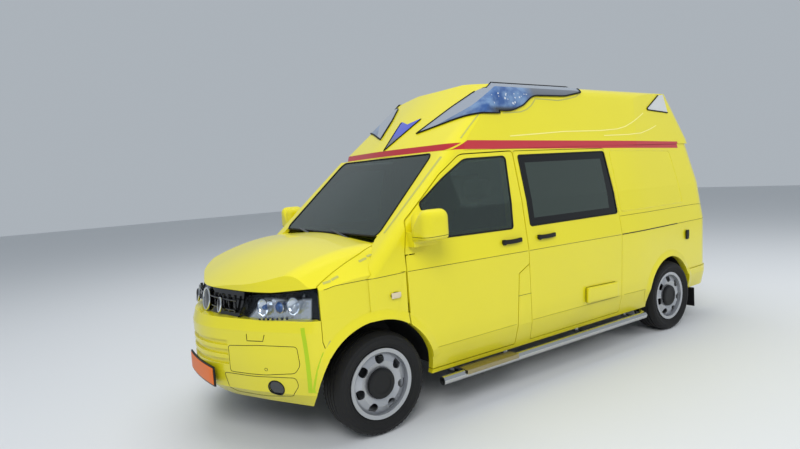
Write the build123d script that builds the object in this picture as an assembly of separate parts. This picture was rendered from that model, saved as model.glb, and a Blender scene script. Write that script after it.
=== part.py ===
from build123d import *
from math import cos, hypot, pi, radians, sin, tan
import os

os.makedirs("parts", exist_ok=True)

# A high-roof van converted to an ambulance. Millimetres, +X forward, +Y left, +Z up,
# with the ground at z = 0 and x = 0 at half the overall length.

# Driving dimensions
axle_front_x = 1738
axle_rear_x = -1662
track = 1628
tyre_radius = 338
tyre_width = 235
rim_radius = 216
rim_flange_radius = 232
rim_width = 200
body_half_width = 950
body_rear_x = -2633
body_bottom_z = 300
sill_crease_z = 480
belt_z = 1045
gutter_z = 1835
roof_top_z = 2455
floor_z = 470
floor_thickness = 50
cab_floor_z = floor_z - 10
bulkhead_x = 270
wall = 45
door_gap = 8
moving_gap = 6
seam = 5
seat_gap = 0.3
glass_depth = 1
glass_thickness = 5
rebate = 25

wheel_z = tyre_radius
wheel_y = track / 2


# Outlines are closed lists of corners (u, v, corner radius), anticlockwise.
def mirrored(half):
    """Whole outline from its half with v >= 0, whose first and last corners lie on v = 0."""
    return half + [(u, -v, r) for u, v, r in reversed(half[1:-1])]


def inset(corners, depth):
    """The same outline, depth further in, with concentric corner arcs."""
    lines = []
    for i, (u, v, _) in enumerate(corners):
        nu, nv, _ = corners[(i + 1) % len(corners)]
        length = hypot(nu - u, nv - v)
        a, b = (v - nv) / length, (nu - u) / length
        lines.append((a, b, a * u + b * v + depth))
    moved = []
    for i, (_, _, r) in enumerate(corners):
        a, b, c = lines[i - 1]
        d, e, f = lines[i]
        turn = a * e - b * d
        grown = r - depth if turn > 0 else r + depth
        moved.append(((c * e - b * f) / turn, (a * f - c * d) / turn, max(grown, 2) if r else 0))
    return moved


def outline(corners, place):
    """Closed wire of straight runs and corner arcs. place(u, v) gives the point in space."""
    turns = []
    for i, (u, v, r) in enumerate(corners):
        here = Vector(u, v)
        back = (Vector(*corners[i - 1][:2]) - here).normalized()
        ahead = (Vector(*corners[(i + 1) % len(corners)][:2]) - here).normalized()
        half = radians(back.get_angle(ahead)) / 2
        run = r / tan(half)
        middle = here + (back + ahead).normalized() * (r / sin(half) - r)
        turns.append([place(p.X, p.Y) for p in (here + back * run, middle, here + ahead * run)])
    edges = []
    for i, (start, middle, end) in enumerate(turns):
        if corners[i][2]:
            edges.append(Edge.make_three_point_arc(start, middle, end))
        edges.append(Edge.make_line(end, turns[(i + 1) % len(turns)][0]))
    return Wire(edges)


def across_y(corners, y0, y1):
    """Solid from a side view (x, z), between two values of y."""
    face = Face(outline(corners, lambda u, v: Vector(u, y0, v)))
    return Solid.extrude(face, Vector(0, y1 - y0, 0))


def along_x(corners, x0, x1):
    """Solid from a front view (y, z), between two values of x."""
    face = Face(outline(corners, lambda u, v: Vector(x0, u, v)))
    return Solid.extrude(face, Vector(x1 - x0, 0, 0))


def upright(corners, z0, z1):
    """Solid from a plan (x, y), between two heights."""
    face = Face(outline(corners, lambda u, v: Vector(u, v, z0)))
    return Solid.extrude(face, Vector(0, 0, z1 - z0))


def block(x0, x1, y0, y1, z0, z1):
    return Pos((x0 + x1) / 2, (y0 + y1) / 2, (z0 + z1) / 2) * Box(x1 - x0, y1 - y0, z1 - z0)


def rod(start, end, radius):
    """Round bar between two points."""
    run = Vector(*end) - Vector(*start)
    return Solid.make_cylinder(radius, run.length, Plane(origin=start, z_dir=run))


def both(shape):
    """A left-hand shape and its mirror image on the right."""
    return Compound(children=[shape, mirror(shape, Plane.XZ)])


def stack(levels, depth=0):
    """Solid through plan outlines at their heights, all depth further in. levels: (z, outline)."""
    rings = []
    for z, corners in levels:
        rings.append(outline(inset(corners, depth) if depth else corners, lambda u, v, z=z: Vector(u, v, z)))
    return Solid.make_loft(rings, ruled=True)


# Outer forms. body: (z, screen x, front corner x, half width, rear half width, rear x)
BODY_LEVELS = [
    (body_bottom_z - 60, 1854, 1840, 890, 815, body_rear_x + 30),
    (sill_crease_z, 1854, 1840, 944, 860, body_rear_x + 4),
    (belt_z, 1854, 1840, body_half_width, 869, body_rear_x),
    (1420, 1457, 1442, 902, 822, body_rear_x + 22),
    (gutter_z, 1018, 1003, 818, 738, body_rear_x + 100),
]


def body_outline(screen_x, corner_x, half, rear_half, rear_x):
    return mirrored([
        (screen_x, 0, 9000), (corner_x, half, 90), (-1200, half + 2, 4000),
        (rear_x + 66, rear_half, 280), (rear_x - 6, 0, 3500),
    ])


def body_form(depth=0):
    return stack([(z, body_outline(*row)) for z, *row in BODY_LEVELS], depth)


# nose: (z, centre x, mid x, mid y, corner x, corner y, half width at the door)
NOSE_LEVELS = [
    (285, 2600, 2355, 500, 2150, 872, 890),
    (370, 2695, 2448, 500, 2180, 900, 918),
    (sill_crease_z, 2712, 2462, 500, 2190, 905, 944),
    (760, 2713, 2465, 500, 2190, 905, 950),
    (832, 2690, 2445, 500, 2180, 905, 950),
]
LAMP_LEVELS = [
    (832, 2585, 2446, 530, 2165, 905, 950),
    (belt_z, 2553, 2408, 530, 2150, 905, 950),
    (1400, 2495, 2328, 530, 2090, 905, 950),
]


def nose_outline(centre_x, mid_x, mid_y, corner_x, corner_y, half):
    return mirrored([
        (centre_x, 0, 680), (mid_x, mid_y, 800), (corner_x, corner_y, 150),
        (1500, half, 2500), (900, half - 1, 50), (850, 0, 9000),
    ])


def bumper_form(depth=0):
    return stack([(z, nose_outline(*row)) for z, *row in NOSE_LEVELS], depth)


# The bonnet's crest is an arc through three points (x, z), and its crown is turned about the arc's centre.
CREST = [(2528, 1020), (2150, 1202), (1610, 1282)]


def circle_through(p, q, s):
    (ax, ay), (bx, by), (cx, cy) = p, q, s
    d = 2 * (ax * (by - cy) + bx * (cy - ay) + cx * (ay - by))
    ux = ((ax**2 + ay**2) * (by - cy) + (bx**2 + by**2) * (cy - ay) + (cx**2 + cy**2) * (ay - by)) / d
    uy = ((ax**2 + ay**2) * (cx - bx) + (bx**2 + by**2) * (ax - cx) + (cx**2 + cy**2) * (bx - ax)) / d
    return ux, uy, hypot(ax - ux, ay - uy)


crest_x, crest_z, crest_radius = circle_through(*CREST)


def bonnet_crown(depth=0):
    """Solid under the crown of bonnet and wings. Its section (y, height over the crest) is turned about Y."""
    half = [(0, 0, 4500), (-760, -50, 190), (-1050, -330, 0), (-1050, -1400, 0)]
    section = half + [(-y, h, r) for y, h, r in reversed(half[1:])]
    top = crest_z + crest_radius
    face = Face(outline(inset(section, depth), lambda u, v: Vector(crest_x, u, top + v)))
    crest = Axis((crest_x, 0, crest_z), (0, 1, 0))
    return Solid.revolve(face, 75, crest).rotate(crest, -22)


def front_form(depth=0):
    return stack([(z, nose_outline(*row)) for z, *row in LAMP_LEVELS], depth) & bonnet_crown(depth)


# roof: (z, front x, front corner x, half width, rear half width, rear x)
ROOF_LEVELS = [
    (gutter_z, 1030, 978, 829, 748, body_rear_x + 90),
    (1890, 1018, 966, 818, 738, body_rear_x + 104),
    (2520, 288, 215, 706, 590, body_rear_x + 395),
]


def roof_outline(front_x, corner_x, half, rear_half, rear_x):
    return mirrored([
        (front_x + 6, 0, 2400), (corner_x - 40, half, 150), (-1200, half + 1, 3000),
        (rear_x + 66, rear_half, 240), (rear_x - 6, 0, 1800),
    ])


def roof_form(depth=0):
    walls = stack([(z, roof_outline(*row)) for z, *row in ROOF_LEVELS], depth)
    crown = [(0, roof_top_z, 3300), (-712, roof_top_z - 105, 125), (-874, 1600, 0), (874, 1600, 0),
             (712, roof_top_z - 105, 125)]
    arch = [(420, roof_top_z - 36, 420), (-1500, roof_top_z - 20, 2500), (-2290, roof_top_z - 82, 200),
            (-2700, 1700, 0), (1260, 1700, 0)]
    return walls & along_x(inset(crown, depth), -3000, 1500) & across_y(inset(arch, depth), -1000, 1000)


# Side views of the openings on the left side: (x, z, corner radius)
FRONT_DOOR = [
    (1510, 1045, 0), (1507, 1170, 20), (1466, 1366, 60), (1118, 1664, 200), (905, 1800, 150), (366, 1812, 25),
    (358, 940, 15), (476, 880, 20), (489, 700, 0), (520, 336, 10), (1500, 336, 0), (1500, 700, 0),
]
SLIDING_DOOR = [
    (354, 1812, 25), (-787, 1808, 25), (-841, 1202, 0), (-846, 1033, 0), (-812, 336, 15), (344, 336, 10),
    (352, 930, 10),
]
FRONT_WINDOW = [(1338, 1475, 40), (1120, 1628, 1500), (872, 1766, 150), (448, 1776, 30), (494, 1226, 25),
                (1272, 1233, 15)]
SLIDING_WINDOW = [(308, 1778, 20), (-779, 1782, 20), (-818, 1230, 20), (300, 1226, 20)]
# Front and rear views of the openings: (y, z, corner radius)
SCREEN = [(-742, 1275, 40), (742, 1275, 40), (662, 1822, 60), (-662, 1822, 60)]
TAILGATE = [(-778, 556, 20), (778, 556, 20), (772, 1070, 30), (640, 1818, 40), (-640, 1818, 40), (-772, 1070, 30)]
REAR_WINDOW = [(-655, 1215, 60), (655, 1215, 60), (560, 1740, 60), (-560, 1740, 60)]
LAMP = [(400, 826, 8), (700, 806, 60), (940, 830, 0), (940, 1030, 0), (700, 1001, 150), (470, 978, 8)]
TAIL_LAMP = [(780, 772, 8), (1000, 772, 0), (1000, 1069, 0), (780, 1069, 8)]
# Wheel arches: (x, z, radius)
ARCH_FRONT = (axle_front_x + 15, 335, 432)
ARCH_REAR = (axle_rear_x + 8, 325, 405)


def anticlockwise(corners):
    area = sum(a[0] * b[1] - b[0] * a[1] for a, b in zip(corners, corners[1:] + corners[:1]))
    return corners if area > 0 else corners[::-1]


def side_view(corners, grow=0, y0=745, y1=1200):
    return across_y(inset(anticlockwise(corners), -grow), y0, y1)


def front_view(corners, x0, x1, grow=0):
    return along_x(inset(anticlockwise(corners), -grow), x0, x1)


def flip(shape):
    """The right-hand piece of a left-hand one."""
    return mirror(shape, Plane.XZ)


body, body_under_glass = body_form(glass_depth), body_form(glass_depth + glass_thickness)
body_lining = body_form(wall)
shell = body_form() - body_lining
around = body_form(-60)
pocket = around - body_form(glass_depth + glass_thickness + seat_gap)


def glaze(panel, window, rest):
    """A panel with a rebated opening and the pane that lies in it. window(grow) is the pane's outline as a solid."""
    pane = (body - body_under_glass) & window(0)
    return panel - (pocket & window(3)) - window(-rest), pane


def clear_of(opening, shape):
    """The shape cut back so that the leaf in this opening swings clear of it."""
    return shape - (opening - body_form(wall + moving_gap))


def save(name, shape):
    found = shape.solids()
    export_step(found[0] if len(found) == 1 else Compound(children=list(found)), f"parts/{name}.step")
    print(name, len(found), "solids")


arch_front, arch_rear = (
    rod((x, -1200, z), (x, 1200, z), r) for x, z, r in (ARCH_FRONT, ARCH_REAR)
)
below_body = block(-3000, 3000, -1200, 1200, 0, body_bottom_z)

# Door hinges: vertical pins just under the skin, held by straps from the door post
hinge_pin_radius, pin_clearance = 5, 0.08
hinge_x = 1480
hinge_heights = (800, 1120)
hinge_half = 30
hinge_depth = 12


def half_width_at(z):
    """Half width of the body form at a height."""
    rows = [(row[0], row[3]) for row in BODY_LEVELS]
    for (z0, w0), (z1, w1) in zip(rows, rows[1:]):
        if z0 <= z <= z1:
            return w0 + (w1 - w0) * (z - z0) / (z1 - z0)


hinge_y = min(half_width_at(z) for z in hinge_heights) - hinge_depth


def door_hinges(door, frame):
    for z in hinge_heights:
        low, high = z - hinge_half, z + hinge_half
        pin = rod((hinge_x, hinge_y, low - hinge_half), (hinge_x, hinge_y, high + hinge_half), hinge_pin_radius)
        bore = rod((hinge_x, hinge_y, low - hinge_half - 1), (hinge_x, hinge_y, high + hinge_half + 1),
                   hinge_pin_radius + pin_clearance)
        notch = block(hinge_x - 48, hinge_x + 50, hinge_y - 60, hinge_y + 8.5, low - moving_gap, high + moving_gap)
        strap = block(hinge_x - 5, hinge_x + 5, hinge_y - 75, hinge_y, low, high)
        door = door - notch - bore
        frame = frame + pin + strap
    return door, frame


# Front door
door = (shell & side_view(FRONT_DOOR)) - arch_front
door, door_pane = glaze(door, lambda grow: side_view(FRONT_WINDOW, grow), rebate)
wing_rear_x, wing_wall = 1522, 14
post_low, post_high = 735, 1300
wing_lining = front_form(wing_wall + seat_gap) + bumper_form(wing_wall + seat_gap)
door_post = block(1440, wing_rear_x, 830, hinge_y - 62, post_low, post_high) & body_form(wall + moving_gap)
door_post += block(wing_rear_x, wing_rear_x + 24, 830, 1000, post_low, post_high) & wing_lining
door_post += block(wing_rear_x - 10, wing_rear_x + 24, 840, 1000, 1200, post_high) & body_form(wall - 5)
door, door_post = door_hinges(door, door_post)

# Sliding door
sliding = shell & side_view(SLIDING_DOOR)
sliding, sliding_pane = glaze(sliding, lambda grow: side_view(SLIDING_WINDOW, grow), rebate)

# Body shell
left_openings = [side_view(FRONT_DOOR, door_gap), side_view(SLIDING_DOOR, seam)]
frame = shell - below_body - arch_front - arch_rear
for opening in left_openings:
    frame = frame - opening - flip(opening)
frame = frame - ((front_form(-4) + bumper_form(-4)) & block(1480, 2700, -1200, 1200, 0, 1400))
frame = frame - block(1000, 2000, -742, 742, 0, 1278)
frame, screen = glaze(frame, lambda grow: front_view(SCREEN, 900, 1800, grow), rebate)
tailgate_opening = front_view(TAILGATE, -2800, -2200, door_gap)
frame = frame - tailgate_opening - block(-2800, -2400, -600, 600, 1800, gutter_z)
frame = frame - block(-2800, -2024, -1200, 1200, 0, 548)
tail_lamp = (shell & front_view(TAIL_LAMP, -2700, -2446))
frame = frame - front_view(TAIL_LAMP, -2700, -2446, 0) - front_view([(-y, z, r) for y, z, r in TAIL_LAMP], -2700, -2446)
middle_post = (body_lining & block(300, 400, 700, 900, cab_floor_z, gutter_z)) - body_form(wall + 45)
middle_post = clear_of(left_openings[0], middle_post)
header_room = (tailgate_opening + block(-2800, -2370, -690, 690, 1700, 1900)) - body_form(wall + 20)
header_bar = block(-2560, -2300, -1200, 1200, gutter_z - 40, gutter_z)
rear_header = (body_form(wall + seat_gap) & header_bar) - body_form(wall + 50) - header_room
posts = door_post + middle_post
frame = frame + posts + flip(posts)

# Tailgate, hinged along its top edge near the middle, where the bowed rear is flat enough
tailgate = shell & front_view(TAILGATE, -2800, -2200)
tailgate, rear_pane = glaze(tailgate, lambda grow: front_view(REAR_WINDOW, -2800, -2200, grow), rebate)
tailgate_hinge_x, tailgate_hinge_z = body_rear_x + 125, gutter_z - 29
for y in (-200, 200):
    x, z = tailgate_hinge_x, tailgate_hinge_z
    pin = rod((x, y - 55, z), (x, y + 55, z), hinge_pin_radius)
    bore = rod((x, y - 56, z), (x, y + 56, z), hinge_pin_radius + pin_clearance)
    notch = block(x - 8.5, x + 80, y - 31, y + 31, z - 32, z + 40)
    strap = block(x, x + 60, y - 25, y + 25, z - 4, z + 4)
    tailgate = tailgate - notch - bore
    rear_header = rear_header + pin + strap

# Bonnet, wings, headlamps and grille
bonnet_rear_x = 1625
bonnet_edge_z = 1003
bonnet_gap = 7
BONNET_SIDE = [(2750, 960, 0), (2150, 960, 0), (2138, 872, 0), (2090, 862, 0), (1786, 800, 300),
               (bonnet_rear_x, 742, 10)]
BONNET_PLAN = BONNET_SIDE + [(x, -y, r) for x, y, r in reversed(BONNET_SIDE)]
gap_front_x = 2133
bumper_top_z = 832
front_outer, front_inner = front_form(), front_form(25)
bumper_outer = bumper_form()
lamp_cut = front_view(LAMP, gap_front_x + 4, 2700)
lamp_room = front_view(LAMP, 2000, 2700, bonnet_gap)
bonnet = (front_outer - front_inner) & upright(BONNET_PLAN, bonnet_edge_z, 1400)
bonnet = bonnet - lamp_room - flip(lamp_room)
frame -= upright(inset(BONNET_PLAN, -bonnet_gap), bonnet_edge_z, 1400)
wing_shell = (front_outer - front_form(wing_wall)) + (bumper_outer - bumper_form(wing_wall))
wing_cut = across_y([(wing_rear_x, 200, 0), (2080, 200, 0), (2098, 590, 60), (gap_front_x, 700, 30),
                     (gap_front_x, 1300, 0), (wing_rear_x, 1300, 0)], 300, 1200)
wing = (wing_shell & wing_cut) - arch_front - upright(inset(BONNET_PLAN, -bonnet_gap), 990, 1500)
wing = wing - block(1400, 2400, 0, 1200, 1262, 1500) - block(1400, 2400, 0, 700, 0, 1500)
above_bumper = block(2000, 2750, -1200, 1200, bumper_top_z + seat_gap, 1500)
lamp = (front_form(2) - front_form(130)) & lamp_cut & above_bumper
grille = (front_form(14) - front_form(60)) & block(2200, 2700, -430, 430, 800, bonnet_edge_z - 8) & above_bumper
grille = grille - front_view(LAMP, 2100, 2700, 3) - flip(front_view(LAMP, 2100, 2700, 3))

# Front bumper
bumper_cut = across_y([(2084, 200, 0), (2700, 200, 0), (2700, bumper_top_z, 0), (gap_front_x + seam, bumper_top_z, 0),
                       (gap_front_x + seam, 698, 30), (2104, 588, 60)], -1200, 1200)
bumper = ((bumper_outer - bumper_form(30)) & bumper_cut) - arch_front
bumper = bumper + ((bumper_outer - bumper_form(150)) & block(gap_front_x + seam, 2700, -1200, 1200, 818, bumper_top_z))
for z in (528, 590, 652):
    bumper = bumper - ((bumper_form(-20) - bumper_form(15)) & block(2300, 2800, -345, 345, z, z + 36))
fog_y, fog_z, fog_radius = 650, 402, 46
fog_lamps = []
for y in (-fog_y, fog_y):
    bumper = bumper - rod((2200, y, fog_z), (2500, y, fog_z), fog_radius + seat_gap)
    fog_lamps.append((bumper_form(4) - bumper_form(45)) & rod((2200, y, fog_z), (2500, y, fog_z), fog_radius))

# Rear bumper
rear_bumper_z = 345
rear_outer, rear_inner = body_form(-12), body_lining
rear_bumper = ((rear_outer - rear_inner) & block(-2800, -2030, -1200, 1200, rear_bumper_z, 544)) - arch_rear

# Cowl under the windscreen, with the bonnet's hinges
cowl = block(wing_rear_x, bonnet_rear_x - 13, -735, 735, 1150, 1200)
bonnet_hinge_x, bonnet_hinge_z, bonnet_pin_radius = bonnet_rear_x + 6, 1254, 4
for y in (-220, 220):
    x, z = bonnet_hinge_x, bonnet_hinge_z
    cowl += rod((x, y - 32, z), (x, y + 32, z), bonnet_pin_radius)
    for ear in (y - 36, y + 22):
        cowl += block(x - 35, x + 5, ear, ear + 14, 1200, z - 18) + block(x - 5, x + 5, ear, ear + 14, z - 36, z + 5)
    bonnet -= block(x - 10, x + 12, y - 42, y + 42, z - 40, z + 9)
    bonnet += block(x - 6, x + 60, y - 15, y + 15, z - 6, z + 6) & front_form(8)
    bonnet -= rod((x, y - 16, z), (x, y + 16, z), bonnet_pin_radius + pin_clearance)

# Roof
roof_outer = roof_form()
roof = roof_outer - roof_form(wall)
POD_SIDE = [(790, 2095, 0), (500, 2135, 600), (283, 2134, 400), (137, 2182, 280), (7, 2266, 230), (-399, 2273, 400),
            (-643, 2316, 10), (-643, 2350, 0), (-300, 2420, 0), (300, 2480, 0), (790, 2480, 0)]
POD_FRONT = [(268, 2008, 0), (600, 2088, 900), (850, 2125, 0), (850, 2330, 0), (560, 2330, 130), (420, 2200, 350)]
pod_skin = roof_form(-10) - roof_form(35)
pod_cut = side_view(POD_SIDE, 0, 640, 1000) + front_view(POD_FRONT, 420, 1200)
pod = pod_skin & pod_cut
FRONT_LIGHT = [(0, 1893, 0), (150, 2150, 10), (0, 2110, 40), (-150, 2150, 10)]
front_light = (roof_form(-8) - roof_form(35)) & front_view(FRONT_LIGHT, 400, 1200)
MARKER = [(-1621, 2180, 10), (-2060, 2160, 0), (-2060, 2350, 0), (-1943, 2335, 30)]
marker = (roof_form(-6) - roof_form(35)) & side_view(MARKER, 0, 500, 1000)
for light in (pod, flip(pod), front_light, marker, flip(marker)):
    roof = roof - light

# Door mirrors
MIRROR_FRONT = [(962, 1272, 0), (1152, 1246, 0), (1152, 1455, 0), (962, 1438, 0)]
mirror_form = along_x(MIRROR_FRONT, 1280, 1492)
mirror_form = fillet(mirror_form.edges().sort_by(Axis.Z)[4:], 55)
mirror_form = fillet([edge for edge in mirror_form.edges() if edge.center().Z < 1275], 22)
mirror_arm = block(1290, 1480, 890, 1000, 1205, 1300)
mirror_left = (mirror_form + mirror_arm) - body_form(-0.3)

# Load floor on its frame rails, cab floor with firewall and seat boxes, and the wheel housings let into both
inside = body_form(wall + seat_gap)
inside_doors = body_form(wall + moving_gap)
floor_bottom, step_x, firewall_x = floor_z - floor_thickness, bulkhead_x - 2, 1500
floor = inside & block(-2570, step_x, -1200, 1200, floor_bottom, floor_z)
cab_floor = inside & block(step_x, 346, -1200, 1200, floor_bottom, cab_floor_z)
cab_floor += inside_doors & block(346, firewall_x, -1200, 1200, floor_bottom, cab_floor_z)
housings = []
housing_wall = 14
in_wing = bumper_form(wing_wall + seat_gap) & block(wing_rear_x + 26, 2080, -1200, 1200, 0, 3000)
in_wing += bumper_form(30 + seat_gap) & block(2080, 3000, -1200, 1200, 0, 3000)
front_housing_y, rear_housing_y = 470, 620
for (x, z, r), inner_y, room in (
        (ARCH_FRONT, front_housing_y, inside_doors + in_wing), (ARCH_REAR, rear_housing_y, inside)):
    cut = rod((x, inner_y - seat_gap, z), (x, 1200, z), r + housing_wall + seat_gap)
    floor, cab_floor = floor - cut - flip(cut), cab_floor - cut - flip(cut)
    housing = rod((x, inner_y, z), (x, 890, z), r + housing_wall)
    housing = housing - rod((x, inner_y + housing_wall, z), (x, 900, z), r)
    housing = housing & block(x - 600, x + 600, 0, 890, z + 40, 1000) & room
    housings += [housing, flip(housing)]
rail = block(-2560, 2700, 380, 450, 350, floor_bottom)
rail = rail & (inside + (bumper_form(30 + seat_gap) & block(1400, 3000, 0, 1200, 0, 3000)))
floor = floor + rail + flip(rail)
firewall_half, housing_top = front_housing_y - seat_gap, ARCH_FRONT[1] + ARCH_FRONT[2] + housing_wall
cab_floor += block(firewall_x, firewall_x + 20, -firewall_half, firewall_half, floor_bottom, 1190)
cab_floor += block(firewall_x, firewall_x + 20, -700, 700, housing_top, 1190)
seat_box_z = 690
for y in (400, -400):
    cab_floor += block(480, 900, y - 210, y + 210, cab_floor_z, seat_box_z)
# Anchor holes for the stretcher platform
platform_x, platform_run, platform_width, platform_hole_radius = -1100, 1600, 400, 5.5
for x in (platform_x - platform_run / 2, platform_x + platform_run / 2):
    for y in (-platform_width / 2, platform_width / 2):
        floor = floor - rod((x, y, 300), (x, y, 600), platform_hole_radius)

bulkhead = body_form(wall + seat_gap) & block(bulkhead_x, bulkhead_x + 25, -1200, 1200, cab_floor_z, gutter_z)
bulkhead = bulkhead - block(200, 400, -350, 350, 1250, 1650)

# Cab
dash_x = firewall_x - seat_gap
dashboard = across_y([(1300, 760, 0), (1190, 900, 60), (1240, 1150, 60), (1440, 1210, 40), (dash_x, 1185, 0),
                      (dash_x, 760, 0)], -770, 770)
wheel_centre = Vector(1105, 400, 1080)
column_run = Vector(0.87, 0, -0.49)
steering_wheel = Plane(origin=wheel_centre, z_dir=column_run) * Torus(185, 15)
steering_wheel += rod(wheel_centre, wheel_centre + column_run * 40, 60)
for turn in (90, 210, 330):
    arm = Plane(origin=wheel_centre, z_dir=column_run) * Rot(0, 0, turn) * Pos(100, 0, 12) * Box(160, 34, 12)
    steering_wheel += arm
steering_wheel += rod(wheel_centre + column_run * 40, wheel_centre + column_run * 130, 22)
dashboard = dashboard - rod(wheel_centre, wheel_centre + column_run * 500, 22 + seat_gap)


def seat(y):
    bottom = seat_box_z + seat_gap
    cushion = across_y([(470, bottom, 0), (950, bottom, 40), (960, 840, 60), (520, 810, 40)], y - 240, y + 240)
    back = across_y([(400, 800, 40), (540, 812, 30), (430, 1400, 50), (330, 1400, 40)], y - 235, y + 235)
    head = across_y([(310, 1440, 30), (420, 1440, 30), (405, 1610, 40), (315, 1610, 40)], y - 130, y + 130)
    stalks = rod((365, y - 60, 1380), (365, y - 60, 1460), 8) + rod((365, y + 60, 1380), (365, y + 60, 1460), 8)
    return cushion + back + block(400, 560, y - 200, y + 200, 780, 830) + head + stalks


# Running gear
engine = block(1570, 2150, -300, 340, 480, 1000)
for y in (-260, 260):
    engine += block(1720, 1840, y - 30, y + 30, 300 + seat_gap, 480)
ball = Vector(axle_front_x, 735, 200)
strut_top = Vector(axle_front_x, 560, 875)
king = (strut_top - ball).normalized()


def on_king(start, end, radius):
    """Round bar along the steering axis, between two distances from the ball joint."""
    return rod(ball + king * start, ball + king * end, radius)


rail_bottom = 350 - seat_gap
subframe = block(1600, 1880, -370, 370, 250, 300) + block(1640, 1700, -445, 445, 290, rail_bottom)
arm = upright([(1600, 360, 0), (1860, 360, 0), (1860, 480, 60), (1768, 735, 20), (1708, 735, 20), (1640, 480, 60)],
              165, 190)
arm = arm + on_king(-32, 0, 30) + on_king(-1, 40, 12) + block(1640, 1840, 330, 400, 165, 260)
subframe = subframe + arm + flip(arm)
hub_face_y = 866


def hub(x, y_in):
    carrier = rod((x, y_in, wheel_z), (x, hub_face_y - seat_gap, wheel_z), 70)
    carrier += rod((x, 800, wheel_z), (x, 822, wheel_z), 150)
    carrier += rod((x, hub_face_y - 1, wheel_z), (x, hub_face_y + 24, wheel_z), 32.4)
    return carrier


knuckle = hub(axle_front_x, 745) + block(1700, 1776, 690, 780, 262, 470)
knuckle += on_king(seat_gap, 560, 30)
knuckle -= on_king(-5, 46, 12.05)

rear_axle = block(-1500, -1400, -560, 560, 290, rail_bottom)
trailing = block(-1720, -1410, 555, 620, 290, rail_bottom) + block(-1720, -1600, 560, 760, 290, rail_bottom)
trailing += hub(axle_rear_x, 740)
rear_axle = rear_axle + trailing + flip(trailing)

# Wheels: sections (radius, y) turned about the axle
hole_count = 7


def turned(section, x):
    face = Face(outline(section, lambda u, v: Vector(x, v, wheel_z + u)))
    return Solid.revolve(face, 360, Axis((x, 0, wheel_z), (0, 1, 0)))


def wheel(x):
    mid = wheel_y
    half = rim_width / 2
    barrel = turned([
        (rim_flange_radius, mid - half, 0), (rim_flange_radius, mid - half + 8, 0), (rim_radius, mid - half + 14, 0),
        (rim_radius, mid - 45, 0), (rim_radius - 22, mid - 20, 0), (rim_radius - 22, mid + 30, 0),
        (rim_radius, mid + 50, 0), (rim_radius, mid + half - 14, 0), (rim_flange_radius, mid + half - 8, 0),
        (rim_flange_radius, mid + half, 0), (rim_radius - 10, mid + half - 4, 0), (rim_radius - 10, mid + 54, 0),
        (rim_radius - 30, mid + 36, 0), (rim_radius - 30, mid - 22, 0), (rim_radius - 10, mid - 52, 0),
        (rim_radius - 10, mid - half + 4, 0),
    ], x)
    disc = turned([
        (32.5, hub_face_y, 0), (85, hub_face_y, 0), (110, mid + 70, 0), (150, mid + 84, 0), (rim_radius - 29, mid + 66, 0),
        (rim_radius - 9, mid + 56, 0), (rim_radius - 9, mid + 64, 0), (rim_radius - 28, mid + 76, 0),
        (150, mid + 93, 0), (105, mid + 80, 0), (85, mid + 72, 0), (32.5, mid + 72, 0),
    ], x)
    for k in range(hole_count):
        angle = 2 * pi * k / hole_count
        cx, cz = x + 165 * sin(angle), wheel_z + 165 * cos(angle)
        hole = rod((cx, mid + 30, cz), (cx, mid + 120, cz), 33) & rod((x, mid, wheel_z), (x, 1000, wheel_z), 188)
        disc = disc - hole
    cap = turned([(32.5, mid + 71, 0), (85, mid + 71, 0), (100, mid + 86, 6), (92, mid + 97, 6), (32.5, mid + 99, 0)], x)
    return barrel + disc + cap


def tyre(x):
    mid = wheel_y
    half = tyre_width / 2
    bead = rim_radius + seat_gap
    return turned([
        (bead, mid - 80, 0), (bead, mid - 62, 0), (bead + 24, mid - 62, 10), (tyre_radius - 20, mid - 88, 30),
        (tyre_radius - 14, mid - 60, 30), (tyre_radius - 14, mid + 60, 30), (tyre_radius - 20, mid + 88, 30),
        (bead + 24, mid + 62, 10), (bead, mid + 62, 0), (bead, mid + 80, 0), (rim_flange_radius + 4, mid + 92, 8),
        (262, mid + half, 45), (tyre_radius - 22, mid + half - 2, 40), (tyre_radius, mid + 84, 25),
        (tyre_radius, mid - 84, 25), (tyre_radius - 22, mid - half + 2, 40), (262, mid - half, 45),
        (rim_flange_radius + 4, mid - 92, 8),
    ], x)


# Side bars: stainless tubes under the sills, with step plates
under_floor = floor_bottom - seat_gap
bar_radius, bar_y, bar_z = 30, 972, 256
bar = rod((1290, bar_y, bar_z), (-1120, bar_y, bar_z), bar_radius) + rod((-1110, bar_y, bar_z), (-1200, 870, bar_z), bar_radius)
bar += Pos(-1115, bar_y, bar_z) * Sphere(bar_radius)
bar += block(578, 1089, 868, bar_y, 238, 246)
for x in (1100, 560, -300, -1000):
    bar += block(x - 20, x + 20, 820, bar_y, 245, 265) + block(x - 20, x + 20, 820, 850, 255, under_floor)

mud_flap = block(-2112, -2104, 740, 918, 151, rear_bumper_z - 1) + block(-2112, -2104, 700, 785, 290, under_floor)
exhaust_z, pipe_radius = 255, 28
bend, tail = (-1945, -520, exhaust_z), (-2560, -545, exhaust_z)
exhaust = rod((900, -250, exhaust_z), (-800, -250, exhaust_z), pipe_radius)
exhaust += rod((-700, -250, exhaust_z), (-1200, -250, exhaust_z), 68)
exhaust += rod((-1120, -250, exhaust_z), bend, pipe_radius) + Pos(*bend) * Sphere(pipe_radius) + rod(bend, tail, pipe_radius)
for x, y in ((200, -250), (-950, -250), (-2250, -532)):
    exhaust += block(x - 10, x + 10, y - 10, y + 10, exhaust_z + 15, under_floor)

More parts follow.
